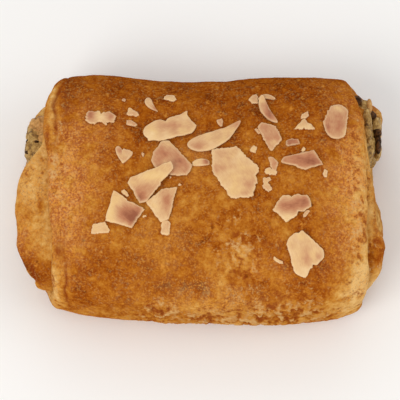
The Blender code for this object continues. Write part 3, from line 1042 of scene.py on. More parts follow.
@dataclass(frozen=True)
class CoreBar:
    """A bar in the core of the roll, from front to back between the sheet's turns, with crowned ends."""

    name: str
    front: float
    back: float
    inset: float
    left: float
    right: float
    crown: float
    lumps: tuple[Waves, ...]
    bake: float = 0.45
    uneven_bake: Waves = Waves(0.25, 6.0, seed=4)
    cut: float = 0.4
    sides: int = 120
    end_rings: int = 34
    middle_rings: int = 12
    power: float = 3.0
    lit_reach: float = 12.0
    tip: float = 0.03
    end_power: float = 0.62

    def stations(self) -> tuple[Numbers, Numbers]:
        """Places of the rings along the bar, close together at its ends.

        Returns:
            Each ring's X, and the size of the bar there as a share of its full size.
        """
        arcs = np.linspace(self.tip, math.pi / 2, self.end_rings)
        depth, size = self.crown * (1 - np.cos(arcs)), np.sin(arcs) ** self.end_power
        shank = np.linspace(self.crown, self.lit_reach, self.middle_rings)[1:]
        near = np.concatenate((depth, shank))
        sizes = np.concatenate((size, np.ones_like(shank)))
        return (
            np.concatenate((self.left + near, self.right - near[::-1])),
            np.concatenate((sizes, sizes[::-1])),
        )

    def build(self, finish: Any, replaces: str, dents: Callable[[Numbers], Numbers]) -> None:
        """Makes the bar.

        Args:
            finish: its finish.
            replaces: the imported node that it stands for.
            dents: relief at places on its surface, in millimetres outwards.
        """
        x, size = self.stations()
        mesh, rounds, steps = tube(self.sides, len(x))
        angle = 2 * math.pi * np.arange(self.sides) / self.sides
        middle, half = (self.front + self.back) / 2, (self.back - self.front) / 2
        y = middle + half * signed_power(np.cos(angle), 2 / self.power)
        top, bottom = ROLL.core_reach(y, self.inset)
        share = 0.5 + 0.5 * signed_power(np.sin(angle), 2 / self.power)
        z = bottom + (top - bottom) * share
        axis = (ROLL.core_reach(np.array([middle]), self.inset)[0][0] + self.inset) / 2
        ring = places_at(0.0, y - middle, z - axis)
        centre = np.array((0, middle, axis))
        places = centre + ring[None] * size[:, None, None] + np.array((1, 0, 0)) * x[:, None, None]
        outward = ring / np.linalg.norm(ring, axis=-1, keepdims=True)
        ends = np.array((1.0, 0, 0)) * np.sign(x)[:, None, None]
        tilt = np.sqrt(1 - np.minimum(size, 1) ** 2)[:, None, None]
        normal = outward[None] * (1 - tilt) + ends * tilt
        relief = dents(places) + heaped(self.lumps, places)
        places = (places + normal * relief[..., None])[steps, rounds]
        shape(mesh, places)
        piece = finished(self.name, mesh, finish, replaces)
        paint(piece, "bake", self.bake + self.uneven_bake.at(places))
        paint(piece, "cut", np.full(len(places), self.cut))
        paint(piece, "sheet", places)


@dataclass(frozen=True)
class Lump:
    """A plump lump with creases round it, as raisins and blobs of paste are."""

    middle: tuple[float, float, float]
    half_sizes: tuple[float, float, float]
    wrinkles: Waves = Waves(1.0, 2.2, (1.2, 1.6, 1))
    dents: Waves = Waves(0.1, 1.6, seed=3)
    least: float = 0.9
    plump: float = 0.11
    crease_ease: float = 0.3

    def build(self, name: str, finish: Any) -> None:
        """Makes the lump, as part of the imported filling.

        Args:
            name: the piece's name.
            finish: its finish.
        """
        mesh = bmesh.new()
        bmesh.ops.create_icosphere(mesh, subdivisions=5, radius=1)
        ball = np.array([vert.co for vert in mesh.verts])
        smooth_skin = ball * np.array(self.half_sizes)
        places = smooth_skin + np.array(self.middle)
        creases = np.abs(self.wrinkles.at(places))
        size = self.least + self.plump * smooth(creases / self.crease_ease) + self.dents.at(places)
        shape(mesh, smooth_skin * size[:, None] + np.array(self.middle))
        finished(name, mesh, finish, "filling")


class Tone(Enum):
    """How far an almond's cut face roasted, all over."""

    IVORY = 0.37
    CREAM = 0.46
    TAN = 0.60
    PINK = 0.90


@dataclass(frozen=True)
class Spot:
    """A roasted patch on an almond, or a paler one: where it lies from the leaf's middle, and its reach."""

    right: float
    back: float
    reach_x: float
    reach_y: float
    amount: float

    def at(self, right: Numbers, back: Numbers) -> Numbers:
        """What the patch adds at places from the leaf's middle."""
        across = hump(right - self.right, self.reach_x)
        return self.amount * across * hump(back - self.back, self.reach_y)


@dataclass(frozen=True)
class Leaf:
    """A sliced almond or a broken bit of one, seen from above.

    Heading is the way that it points. Ways are in degrees from the right. A break is the way that it faces
    and how far it lies from the leaf's middle. A nick is its way from the hub, how far it moves the rim out
    and its width in degrees. A curl is its way, where it starts and how far it rises.
    """

    x: float
    y: float
    heading: float
    length: float
    width: float
    taper: float = 0.0
    bend: float = 0.0
    breaks: tuple[tuple[float, float], ...] = ()
    tone: Tone = Tone.IVORY
    spots: tuple[Spot, ...] = ()
    nicks: tuple[tuple[float, float, float], ...] = ()
    curl: Optional[tuple[float, float, float]] = None
    corners: int = 132
    jag: float = 0.22
    teeth: tuple[Waves, ...] = (Waves(1.0, 1.1, seed=2), Waves(0.6, 0.5, seed=6))
    rim_waves: Waves = Waves(0.05, 3.2, seed=12)
    near_break: float = 0.12
    thickness: float = 1.05
    thin_edge: float = 0.16
    rim_round: float = 0.4
    rim_width: float = 0.45
    rim_steps: tuple[float, ...] = (0.0, 0.04, 0.12, 0.24, 0.42)
    inner_steps: int = 10
    warp: Waves = Waves(0.22, 4.5, seed=1)
    bit_warp: Waves = Waves(0.12, 4.5, seed=1)
    pebbles: Waves = Waves(0.05, 1.4, seed=7)
    snapped: int = 0
    snap_sway: float = 0.8
    snap_reach: float = 0.74
    snap_spread: float = 0.3
    calm_jag: float = 0.3
    widest_waved: float = 6.0
    widest_squeezed: float = 5.0
    rim_thinning: float = 0.15
    longest_bit: float = 9.0

    @cached_property
    def turned(self) -> Numbers:
        """The turn that takes the leaf's own directions to X and Y."""
        return np.array(Matrix.Rotation(math.radians(self.heading), 2))

    def all_breaks(self) -> tuple[tuple[float, float], ...]:
        """The named breaks, with as many more round a bit as it was snapped.

        Returns:
            For each break, the way that it faces and how far it lies from the middle.
        """
        more = []
        for number in range(self.snapped):
            wobble = noise.noise(Vector((self.x, self.y, number * 1.7 + 0.4)))
            off = 360 * (number + self.snap_sway * wobble) / self.snapped
            along, across = pointing(off)
            reach = math.hypot(self.length / 2 * along, self.width / 2 * across)
            more.append((self.heading + off, reach * (self.snap_reach + self.snap_spread * wobble)))
        return self.breaks + tuple(more)

    def corner_places(self) -> tuple[Numbers, Numbers]:
        """The leaf's outline, evenly stepped, with its broken edges jagged.

        Returns:
            The outline's points in X and Y, and its hub.
        """
        angle = np.linspace(0, 2 * math.pi, 721)[:-1]
        along, side = np.cos(angle), np.sin(angle)
        across = self.width / 2 * side * (1 + self.taper * along) + self.bend * (along**2 - 0.5)
        local = np.stack((self.length / 2 * along, across), axis=-1)
        middle = np.array((self.x, self.y))
        points = [Vector(p) for p in middle + local @ self.turned.T]
        breaks = self.all_breaks()
        for facing, distance in breaks:
            points = break_off(points, Vector(middle), facing, distance)
        loop = np.array(points + points[:1])
        distances = np.concatenate(([0.0], np.cumsum(np.hypot(*np.diff(loop, axis=0).T))))
        wanted = np.linspace(0, distances[-1], self.corners + 1)[:-1]
        outline = np.stack([np.interp(wanted, distances, loop[:, i]) for i in (0, 1)], axis=-1)
        hub = outline.mean(axis=0)
        way = outline - hub
        reach = np.hypot(*way.T)
        way = way / reach[:, None]
        broken = np.zeros(self.corners)
        for facing, distance in breaks:
            apart = (outline - middle) @ pointing(facing) - distance
            broken = np.maximum(broken, np.abs(apart) < self.near_break)
        flat = places_at(*outline.T, 0.0)
        push = self.jag * heaped(self.teeth, flat) * (self.calm_jag + (1 - self.calm_jag) * broken)
        push = push + min(self.width, self.widest_waved) * self.rim_waves.at(flat)
        bearing = np.degrees(np.arctan2(way[:, 1], way[:, 0]))
        for facing, size, width in self.nicks:
            apart = (bearing - facing + 180) % 360 - 180
            push = push + size * hump(apart, width)
        return outline + way * push[:, None], hub

    def rings(self, reach: Numbers) -> Numbers:
        """Places of the leaf's rings of points, close together at the rim.

        Args:
            reach: how far the rim lies from the hub at each corner.

        Returns:
            Shares of the way from hub to rim, with a row for each corner.
        """
        from_rim = np.array(self.rim_steps) * min(1.0, self.width / self.widest_squeezed)
        rim = 1 - from_rim[None, :] / reach[:, None]
        inner = rim[:, -1:] * np.linspace(1, 0, self.inner_steps + 1)[None, 1:-1]
        return np.concatenate((rim, inner), axis=1)[:, ::-1]

    def build(
        self, name: str, finish: SlicedAlmond, lie: Callable[[Numbers], Numbers], replaces: str
    ) -> None:
        """Makes the leaf.

        Args:
            name: the piece's name.
            finish: its finish.
            lie: height of the leaf's middle surface at places in X and Y.
            replaces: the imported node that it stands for.
        """
        outline, hub = self.corner_places()
        reach = np.hypot(*(outline - hub).T)
        shares = self.rings(reach)
        mesh = bmesh.new()
        bmesh.ops.create_circle(mesh, cap_ends=True, cap_tris=True, segments=self.corners, radius=1)
        spokes = [edge for edge in mesh.edges if min(vert.co.length for vert in edge.verts) < 0.5]
        bmesh.ops.subdivide_edges(mesh, edges=spokes, cuts=shares.shape[1] - 1)
        drawn = bmesh.ops.extrude_face_region(mesh, geom=mesh.faces, use_keep_orig=True)["geom"]
        upper = [item for item in drawn if isinstance(item, bmesh.types.BMVert)]
        bmesh.ops.translate(mesh, vec=(0, 0, 1), verts=upper)

        flat = np.array([vert.co for vert in mesh.verts])
        radius = np.hypot(flat[:, 0], flat[:, 1])
        corner = np.rint(np.arctan2(flat[:, 0], flat[:, 1]) / (2 * math.pi) * self.corners).astype(int)
        corner %= self.corners
        step = np.rint(radius * shares.shape[1]).astype(int) - 1
        share = np.where(step < 0, 0.0, shares[corner, step])
        place = hub + (outline[corner] - hub) * share[:, None]
        from_rim = reach[corner] * (1 - share)
        half = self.thickness / 2 * np.sqrt(1 - (1 - np.minimum(from_rim / self.rim_round, 1)) ** 2)
        half = np.maximum(half, self.thin_edge / 2) * (1 - self.rim_thinning * hump(from_rim, 1.0))
        level = places_at(*place.T, 0.0)
        warp = self.warp if self.length > self.longest_bit else self.bit_warp
        height = lie(place) + self.lift(place) + warp.at(level) + self.pebbles.at(level)
        up = np.where(flat[:, 2] > 0.5, 1.0, -1.0)
        shape(mesh, places_at(*place.T, height + up * half))

        piece = finished(name, mesh, finish, replaces)
        right, back = (place - np.array((self.x, self.y))).T
        roast = np.full(len(place), self.tone.value) + sum(spot.at(right, back) for spot in self.spots)
        along, across = self.turned.T @ np.stack((right, back))
        paint(piece, "roast", roast)
        # Where the rim's painted highlight lies
        paint(piece, "rim", hump(from_rim, self.rim_width))
        paint(piece, "leaf", places_at(along, across, up))

    def lift(self, place: Numbers) -> Numbers:
        """How far the leaf's curled part rises.

        Args:
            place: places in X and Y.

        Returns:
            Millimetres upwards at each place.
        """
        if self.curl is None:
            return np.zeros(len(place))
        facing, start, rise = self.curl
        beyond = (place - np.array((self.x, self.y))) @ pointing(facing) - start
        return rise * (np.maximum(beyond, 0) / (self.length / 4)) ** 2


def break_off(points: list[Vector], middle: Vector, facing: float, distance: float) -> list[Vector]:
    """What is left of a closed outline behind a straight break across it.

    Args:
        points: the outline.
        middle: the point that the break is measured from.
        facing: the way that the break faces, in degrees.
        distance: how far it lies from the middle.

    Returns:
        The outline that is left.
    """
    way = Vector(pointing(facing))
    kept = []
    for here, after in zip(points, points[1:] + points[:1]):
        a, b = ((point - middle).dot(way) - distance for point in (here, after))
        if a <= 0:
            kept.append(here)
        if (a < 0) != (b < 0) and a != b:
            kept.append(here.lerp(after, a / (a - b)))
    return kept


def tree_of(piece: bpy.types.Object) -> BVHTree:
    """A piece's faces, for dropping points onto it."""
    data = piece.data
    return BVHTree.FromPolygons([v.co for v in data.vertices], [f.vertices for f in data.polygons])


def heights(tree: BVHTree, places: Numbers) -> Numbers:
    """How high the ground's top lies.

    Args:
        tree: the ground's faces.
        places: places in X and Y.

    Returns:
        A height in millimetres for each place, or nan where there is no ground.
    """
    found = []
    for x, y in places:
        hit = tree.ray_cast(Vector((x, y, ABOVE_ALL)) * MM, Vector((0, 0, -1)))[0]
        found.append(hit.z / MM if hit else math.nan)
    return np.array(found)


def terms(places: Numbers) -> Numbers:
    """The six terms of a curved surface at places in X and Y."""
    x, y = places.T
    return np.column_stack((np.ones_like(x), x, y, x * x, x * y, y * y))


def curved_through(places: Numbers, levels: Numbers) -> Callable[[Numbers], Numbers]:
    """The gently curved surface that fits heights at places best.

    Args:
        places: places in X and Y.
        levels: the height at each, or nan.

    Returns:
        The surface's height as a function of places.
    """
    middle = places.mean(axis=0)
    known = np.isfinite(levels)
    fit = np.linalg.lstsq(terms(places[known] - middle), levels[known], rcond=None)[0]
    return lambda where: terms(where - middle) @ fit


OUTER_SHEET = SheetLength(
    name="outer_wrap",
    first=-0.2,
    last=SEAM,
    step=0.62,
    skin_faces=200,
    faces_near_edges=0.16,
    width_near_edges=0.13,
    bake=0.74,
    # The rows that reach 200 mm along the roll make the crust darker towards the back and paler towards the
    # front: browning, and partly painted shade.
    browned=(
        Patch(0, 0.03, 200, 22, 0.08),
        Patch(0, 0.12, 60, 14, 0.04),
        Patch(-43, 0.27, 10, 30, -0.20),
        Patch(-43.5, 0.13, 3.5, 12, 0.22),
        Patch(12.5, 0.385, 2, 3, -0.22),
        Patch(8, 0.405, 3, 2.2, -0.24),
        Patch(6.5, 0.43, 1.8, 3.5, -0.24),
        Patch(0.5, 0.435, 4, 4, 0.2),
        Patch(-14, 0.43, 5, 5, 0.14),
        Patch(-5, 0.5, 4, 4, 0.2),
        Patch(33, 0.37, 3, 6, 0.2),
        Patch(-33, 0.355, 5, 6, 0.08),
        Patch(50, 0.30, 8, 48, -0.24),
        Patch(45, 0.18, 3, 14, 0.12),
        Patch(40, 0.41, 5, 9, 0.14),
        Patch(2, 0.28, 9, 12, -0.10),
        Patch(-4, 0.24, 3.5, 9, -0.12),
        Patch(0, 0.36, 30, 16, -0.04),
        Patch(2, 0.485, 14, 7, -0.16),
        Patch(0, 0.55, 200, 12, -0.14),
        Patch(-8, 0.75, 70, 40, -0.10),
        Patch(-56, 0.66, 7, 10, 0.40),
        Patch(-48.5, 0.11, 2.4, 14, -0.70),
        Patch(-47.8, 0.47, 4.0, 13, -0.72),
        Patch(51.5, 0.445, 5, 9, -0.80),
        Patch(51, 0.30, 3, 24, -0.2),
        Patch(52, 0.20, 3, 30, -0.12),
        Patch(-49.2, 0.19, 1.2, 9, 0.35),
        Patch(0, 0.08, 200, 30, 0.05),
        Patch(-38, 0.44, 14, 14, 0.12),
        Patch(48, 0.50, 10, 9, -0.35),
    ),
    blushed=(
        Patch(-43, 0.28, 9, 24, 1.0),
        Patch(-34, 0.17, 7, 8, 0.3),
        Patch(48, 0.28, 7, 36, 0.8),
        Patch(24, 0.41, 12, 8, 0.3),
        Patch(-12, 0.37, 8, 8, -0.45),
        Patch(5, 0.47, 22, 10, -0.7),
        Patch(51, 0.44, 6, 10, -0.9),
        Patch(-48.5, 0.47, 3.2, 14, -0.9),
        Patch(-2, 0.22, 8, 8, -0.4),
    ),
    flaky=(
        Patch(10, 0.53, 30, 9, 1.1),
        Patch(-12, 0.50, 5, 6, 0.8),
        Patch(28, 0.49, 12, 9, 0.7),
        Patch(12, 0.39, 7, 12, 0.6),
        Patch(50, 0.34, 3.5, 40, 0.5),
        Patch(-48, 0.48, 3, 12, 0.9),
        Patch(-46, 0.22, 3, 14, 0.7),
    ),
    creases=(
        Crease(-1, 0.11, 17, 3.6, 0.55, 0.8),
        Crease(-1, 0.45, 15, 4.6, 0.45, 0.5),
        Crease(-1, 0.385, 3, 3.0, 1.0, 0.3),
    ),
)
INNER_SHEET = SheetLength(
    name="inner_turn",
    first=-1.31,
    last=-0.2,
    step=0.7,
    skin_faces=110,
    faces_near_edges=0.42,
    width_near_edges=0.16,
    bake=0.3,
    browned=(
        Patch(-58, -0.53, 16, 13, 0.85),
        Patch(-57, -0.63, 5, 10, 0.32),
        Patch(-51.2, -0.70, 1.0, 3.6, 0.55),
        Patch(-60, -0.605, 3, 6, 0.25),
        Patch(-58, -0.92, 12, 10, 0.2),
        Patch(58, -0.59, 12, 10, 0.55),
        Patch(57, -0.49, 7, 6, -0.5),
        Patch(57, -0.72, 8, 14, 0.05),
        Patch(60, -0.93, 4, 26, 0.55),
        Patch(55, -0.95, 5, 7, 0.4),
    ),
    blushed=(
        Patch(-58, -0.64, 6, 14, 0.6),
        Patch(-54, -0.74, 6, 16, -0.7),
        Patch(58, -0.74, 6, 20, -1.0),
    ),
    flaky=(
        Patch(58, -0.62, 10, 40, 0.6),
        Patch(-52, -0.78, 5, 14, 0.35),
    ),
    creases=(Crease(-1, -0.53, 10, 2.0, 0.6, 0.6),),
    inside_faces=24,
)
FOLD_LUMPS = (Waves(0.35, 3.4), Waves(0.105, 1.3))
STICK_LUMPS = (Waves(0.6, 3.4), Waves(0.18, 1.3))
FOLD = CoreBar("fold", -28.0, 9.2, 12.5, -57.6, 57.0, 4.5, FOLD_LUMPS)
FILLING = CoreBar("filling_stick", 9.6, 26.6, CORE_INSET + SLIT, -57.4, 57.4, 3.0, STICK_LUMPS)

RAISINS = (
    Lump((-56.0, 17.3, 25.1), (1.1, 1.0, 0.8)),
    Lump((-53.9, 16.4, 26.4), (1.5, 0.8, 0.8)),
    Lump((-55.7, 13.2, 25.7), (1.5, 0.8, 0.7)),
    Lump((-55.6, 21.8, 18.2), (1.6, 2.0, 1.9)),
    Lump((56.4, 26.4, 25.6), (1.7, 1.4, 1.8)),
    Lump((58.0, 21.0, 23.6), (1.8, 1.4, 2.2)),
    Lump((58.4, 17.4, 23.0), (1.2, 3.6, 2.2)),
    Lump((51.6, 30.4, 28.6), (1.6, 1.9, 1.6)),
)
PASTE_LUMPS = (
    Lump((56.4, 12.9, 18.6), (1.7, 2.0, 2.4)),
    Lump((53.6, 28.4, 26.6), (2.8, 3.2, 2.2)),
    Lump((54.6, 21.0, 29.4), (1.6, 6.5, 2.2)),
    Lump((57.6, 23.8, 23.6), (1.8, 3.2, 2.6)),
    Lump((59.0, 25.6, 17.6), (1.3, 4.6, 4.4)),
    Lump((58.6, 18.6, 16.0), (1.6, 4.0, 4.0)),
)
DRY_LUMPS = (
    Lump((-51.8, 23.4, 24.6), (4.6, 3.4, 2.8)),
    Lump((-50.2, 19.2, 25.4), (3.4, 4.4, 2.4)),
    Lump((55.6, 28.8, 27.9), (1.0, 2.6, 1.1)),
)

SLICES = (
    Leaf(-9.5, 15.4, 16, 17.8, 9.4, 0.1, 0.6, ((106, 4.0), (-74, 3.8), (40, 7.2)),
         spots=(Spot(0.5, 0.6, 6.0, 2.0, 0.22), Spot(-6.0, -2.0, 2.0, 3.0, -0.14),
                Spot(0.0, -4.0, 6.0, 1.0, -0.14)),
         nicks=((50, 1.6, 4), (118, -1.0, 14), (-145, 0.9, 4))),
    Leaf(5.0, 12.3, 29, 19.2, 5.7, -0.5, 1.6,
         spots=(Spot(-5.5, -3.6, 3.0, 2.0, 0.2), Spot(8.0, 4.4, 2.6, 3.0, 0.4)), curl=(29, 4.6, 1.2),
         nicks=((46, -0.5, 7),)),
    Leaf(-9.1, 3.8, -50, 14.8, 12.0, breaks=((40, 3.8), (-92, 5.4), (157, 5.8)), tone=Tone.TAN,
         spots=(Spot(-3.2, 1.4, 3.0, 2.4, 0.14), Spot(2.4, -1.0, 2.2, 4.0, 0.14),
                Spot(-0.5, 5.8, 4.0, 1.7, -0.3)),
         nicks=((150, 0.6, 14),)),
    Leaf(-16.0, -3.8, 46, 17.4, 12.0, 0.1, 0.0, ((109, 3.2), (-39, 3.8), (-151, 6.2)),
         spots=(Spot(0.6, -3.0, 4.0, 2.4, 0.26), Spot(-3.0, -6.0, 2.4, 3.0, 0.4),
                Spot(2.0, 1.0, 5.0, 1.2, -0.2)),
         nicks=((-10, -0.5, 8), (52, 0.3, 4))),
    Leaf(11.0, -0.2, -62, 21.0, 16.5,
         breaks=((-147, 6.2), (180, 7.2), (-87, 9.3), (42, 6.3), (-12, 7.4), (98, 8.5)),
         spots=(Spot(-4.4, 1.6, 2.4, 4.0, 0.12), Spot(5.0, -4.6, 2.4, 2.6, 0.22),
                Spot(-3.0, -6.0, 3.0, 2.6, -0.12)),
         jag=0.42, corners=168, nicks=((-12, -0.6, 5), (-30, 0.5, 4))),
    Leaf(-11.6, -10.9, 62, 13.6, 11.0, 0.1, 0.0, ((131, 3.8), (97, 4.5), (-14, 3.1), (-144, 4.4)),
         spots=(Spot(1.4, 0.0, 2.0, 4.0, 0.38), Spot(-3.0, 0.0, 2.0, 6.0, -0.14))),
    Leaf(-23.8, -13.2, -40, 15.5, 13.5, breaks=((56, 3.6), (-35, 5.2), (-108, 4.8), (165, 5.2)),
         spots=(Spot(2.0, -1.2, 3.8, 3.0, 0.6), Spot(2.8, -4.2, 1.8, 2.2, 0.3),
                Spot(-4.6, 0.0, 1.6, 6.0, -0.2)),
         nicks=((60, -0.5, 14), (180, 0.3, 14))),
    Leaf(44.0, 17.6, 80, 13.4, 9.0, breaks=((-8, 3.1), (157, 3.9)), tone=Tone.TAN, jag=0.5,
         spots=(Spot(0.8, -0.6, 1.8, 4.0, 0.16), Spot(-3.4, -2.0, 1.0, 3.6, 0.2),
                Spot(1.0, 4.8, 3.0, 1.4, -0.3), Spot(2.4, -4.0, 1.4, 2.0, -0.25))),
    Leaf(22.6, 12.0, -68, 12.0, 7.8, -0.1, 0.0, ((-156, 2.5), (69, 3.9), (-39, 3.7), (20, 2.9)),
         tone=Tone.TAN, jag=0.36, spots=(Spot(0.4, 0.6, 2.4, 2.4, 0.08), Spot(1.0, -3.0, 2.0, 2.0, -0.1))),
    Leaf(21.7, 22.0, -66, 12.0, 3.0, -0.1, 1.4, tone=Tone.TAN,
         spots=(Spot(0.6, -1.0, 1.2, 3.0, 0.3), Spot(-2.0, 4.4, 2.0, 2.0, -0.25)), curl=(114, 3.0, 1.0)),
    Leaf(32.8, 3.0, 6, 14.4, 8.4, 0.15, 0.0, ((103, 2.75), (31, 4.8), (-69, 3.3), (-110, 2.9)), tone=Tone.TAN,
         spots=(Spot(0.8, -0.2, 4.6, 2.2, 0.3),), nicks=((-40, -0.35, 16), (-152, -0.5, 20))),
    Leaf(29.0, -12.4, 12, 12.4, 10.4, breaks=((88, 3.9), (-57, 3.1), (-134, 4.9), (147, 4.6)), jag=0.3,
         spots=(Spot(3.6, 1.6, 2.6, 2.4, 0.5), Spot(-1.4, 0.2, 3.4, 1.9, 0.45),
                Spot(-1.0, -4.0, 3.0, 1.4, -0.2)),
         nicks=((-38, -0.9, 12), (92, -0.5, 7), (62, 0.5, 8))),
    Leaf(32.9, -26.8, -75, 14.0, 12.0, breaks=((49, 4.8), (-163, 4.8), (-44, 5.1)),
         spots=(Spot(0.6, -0.6, 1.4, 3.2, 0.26), Spot(4.2, -1.2, 1.6, 1.4, 0.24),
                Spot(-1.0, -5.0, 2.0, 2.0, -0.16)),
         nicks=((-50, -1.0, 7), (-68, -0.9, 9), (105, -0.5, 5))),
    Leaf(-31.9, 19.1, -6, 10.4, 6.0, -0.2, breaks=((175, 4.6), (-3, 4.6), (88, 2.2), (-84, 2.4)),
         tone=Tone.CREAM, jag=0.7,
         spots=(Spot(-3.2, 0.6, 1.4, 1.6, 0.4), Spot(3.2, 0.0, 1.4, 1.6, 0.24),
                Spot(0.0, 0.0, 1.6, 2.0, -0.2)),
         nicks=((70, -0.9, 20), (-105, -0.8, 16), (-55, 0.5, 6))),
)


def bit(x: float, y: float, heading: float, length: float, width: float, **more: Any) -> Leaf:
    """A small piece of almond, snapped off all round."""
    return Leaf(x, y, heading, length, width, snapped=5, **more)


BITS = (
    Leaf(-10.8, -18.8, -86, 5.0, 4.0, 0.2, breaks=((97, 2.3), (-92, 2.3), (-6, 1.5), (174, 1.4))),
    bit(-31.6, -18.6, 22, 7.0, 5.0, taper=0.1, breaks=((-100, 1.9), (22, 2.8))),
    bit(-23.6, -7.4, -40, 3.6, 1.9, bend=0.4),
    bit(17.7, 26.5, 20, 4.6, 4.2, taper=0.4, breaks=((0, 1.1), (-100, 1.4)), tone=Tone.CREAM),
    bit(29.5, 9.6, 10, 5.6, 3.2, taper=0.2, bend=0.5, tone=Tone.PINK),
    Leaf(33.4, 16.2, -90, 7.4, 7.4, breaks=((-90, 1.9), (40, 1.5), (140, 1.5)), jag=0.4,
         nicks=((-100, -0.6, 10),)),
    bit(33.7, 19.6, 35, 4.0, 2.2, tone=Tone.CREAM),
    Leaf(-25.4, 6.0, -70, 5.8, 2.2, -0.2, tone=Tone.CREAM, spots=(Spot(0.0, 1.0, 1.0, 1.2, 0.3),), jag=0.3),
    Leaf(-23.7, 5.4, -112, 5.6, 3.4, -0.5, tone=Tone.CREAM, breaks=((70, 2.2),), jag=0.3),
    bit(-21.9, 21.2, -25, 5.0, 3.2, taper=-0.3, bend=0.6, tone=Tone.CREAM, jag=0.4),
    bit(-22.1, 17.1, -15, 5.4, 2.0, bend=-0.4, tone=Tone.TAN),
    Leaf(-15.7, 24.4, -58, 6.8, 2.2, -0.7, 0.7, tone=Tone.CREAM, spots=(Spot(1.4, -2.0, 1.0, 1.6, 0.4),)),
    bit(-9.7, 27.5, -10, 4.2, 3.6, breaks=((-120, 1.4),)),
    Leaf(0.2, 2.8, 6, 6.2, 2.6, 0.1, -0.5, ((-174, 2.7), (8, 2.8)), spots=(Spot(2.2, 0.4, 1.4, 1.4, 0.5),)),
    bit(6.5, 17.8, -75, 4.2, 2.0, taper=-0.2, tone=Tone.TAN),
    bit(17.0, 7.4, 60, 3.4, 2.4, taper=-0.4, tone=Tone.CREAM),
    bit(23.2, 2.6, -58, 6.8, 3.2, taper=0.3, bend=0.4, tone=Tone.TAN),
    bit(22.4, -0.4, -18, 5.4, 2.9, jag=0.4),
    bit(21.0, -3.4, 35, 4.2, 2.6, tone=Tone.CREAM, jag=0.4),
    bit(21.3, -5.5, -60, 4.6, 3.2, tone=Tone.CREAM, jag=0.4),
    bit(39.8, -0.7, 80, 3.8, 1.9),
)

CRUMBS = (
    Leaf(21.5, 27.2, -4, 5.8, 2.0, 0.0, -1.4, tone=Tone.CREAM, curl=(0, 1.0, 0.6)),
    bit(24.6, -28.8, -27, 5.2, 0.9, bend=0.5),
    bit(32.9, 7.0, 70, 2.6, 1.2),
    bit(-24.6, 26.2, 40, 1.6, 1.3, tone=Tone.PINK),
    bit(18.4, 14.2, -62, 3.8, 1.3, tone=Tone.TAN),
    bit(-17.4, -15.1, 10, 1.8, 0.9),
    bit(-18.2, 5.7, -80, 2.4, 0.9, tone=Tone.TAN),
    bit(-9.4, -2.2, 60, 1.2, 0.9, tone=Tone.TAN),
    bit(-6.4, -4.8, 0, 1.3, 1.0, tone=Tone.CREAM),
    bit(33.6, -14.4, -124, 4.0, 1.1, bend=0.5, tone=Tone.CREAM),
)


@dataclass(frozen=True)
class Dough:
    """The rolled-up sheet and its folded edge."""

    lengths: tuple[SheetLength, ...] = (OUTER_SHEET, INNER_SHEET)
    fold: CoreBar = FOLD
    pebbles: Waves = Waves(0.25, 1.8, seed=3)

    def build(self) -> bpy.types.Object:
        """Makes the dough's pieces.

        Returns:
            The outer wrap.
        """
        crust = BakedCrust()
        wraps = [length.build(crust) for length in self.lengths]
        self.fold.build(crust, "dough", self.pebbles.at)
        return wraps[0]


@dataclass(frozen=True)
class Filling:
    """The stick of almond paste with raisins in its ends."""

    stick: CoreBar = FILLING
    raisins: tuple[Lump, ...] = RAISINS
    lumps: tuple[Lump, ...] = PASTE_LUMPS
    dry_lumps: tuple[Lump, ...] = DRY_LUMPS
    folds: Waves = Waves(1.0, 4.2, (1, 1, 0.7), 11)
    crumbs: Waves = Waves(0.25, 1.0, seed=2)

    def dents(self, places: Numbers) -> Numbers:
        """The paste's crumbly folds at places on it."""
        return 0.6 * smooth(np.abs(self.folds.at(places)) / 0.4) - 0.4 + self.crumbs.at(places)

    def build(self) -> None:
        """Makes the stick, its raisins and its crumbled lumps."""
        paste = BakedPaste()
        self.stick.build(paste, "filling", self.dents)
        groups = (
            ("raisin", self.raisins, RaisinSkin()),
            ("paste_lump", self.lumps, paste),
            ("dry_lump", self.dry_lumps, DRIED_PASTE),
        )
        for name, lumps, finish in groups:
            for number, lump in enumerate(lumps, 1):
                lump.build(f"{name}_{number}", finish)


@dataclass(frozen=True)
class AlmondTopping:
    """The flaked almonds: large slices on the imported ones' places, and bits pressed into the crust.

    Rise is how far a leaf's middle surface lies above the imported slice's top, or the crust under a bit.
    Shares are the parts of the way from a leaf's hub to its rim at which the ground is felt.
    """

    slices: tuple[Leaf, ...] = SLICES
    bits: tuple[Leaf, ...] = BITS
    crumbs: tuple[Leaf, ...] = CRUMBS
    slice_rise: float = -0.95
    slice_shares: tuple[float, ...] = (0.3, 0.6, 0.85, 0.95)
    bit_rise: float = 0.3
    bit_shares: tuple[float, ...] = (0.3, 0.7, 1.0)

    def lie(
        self, leaf: Leaf, ground: BVHTree, shares: Sequence[float], rise: float
    ) -> Callable[[Numbers], Numbers]:
        """A gently curved surface for a leaf, over the ground below it.

        Args:
            leaf: the leaf.
            ground: the faces of what it lies on.
            shares: parts of the way from its hub to its rim at which the ground is felt.
            rise: how far the surface lies above the ground.

        Returns:
            The surface's height as a function of places in X and Y.
        """
        outline, hub = leaf.corner_places()
        spots = np.concatenate([hub + (outline - hub) * share for share in shares])
        top = curved_through(spots, heights(ground, spots))
        return lambda where: top(where) + rise

    def build(self, wrap: bpy.types.Object) -> None:
        """Makes every slice, bit and crumb.

        Args:
            wrap: the crust that the bits are pressed into.
        """
        almond = SlicedAlmond()
        for number, leaf in enumerate(self.slices, 1):
            node = f"almond_slice_{number}"
            lie = self.lie(leaf, tree_of(bpy.data.objects[node]), self.slice_shares, self.slice_rise)
            leaf.build(f"flaked_almond_{number}", almond, lie, node)
        crust = tree_of(wrap)
        for number, leaf in enumerate(self.bits + self.crumbs, 1):
            lie = self.lie(leaf, crust, self.bit_shares, self.bit_rise)
            leaf.build(f"almond_bit_{number}", almond, lie, "dough")


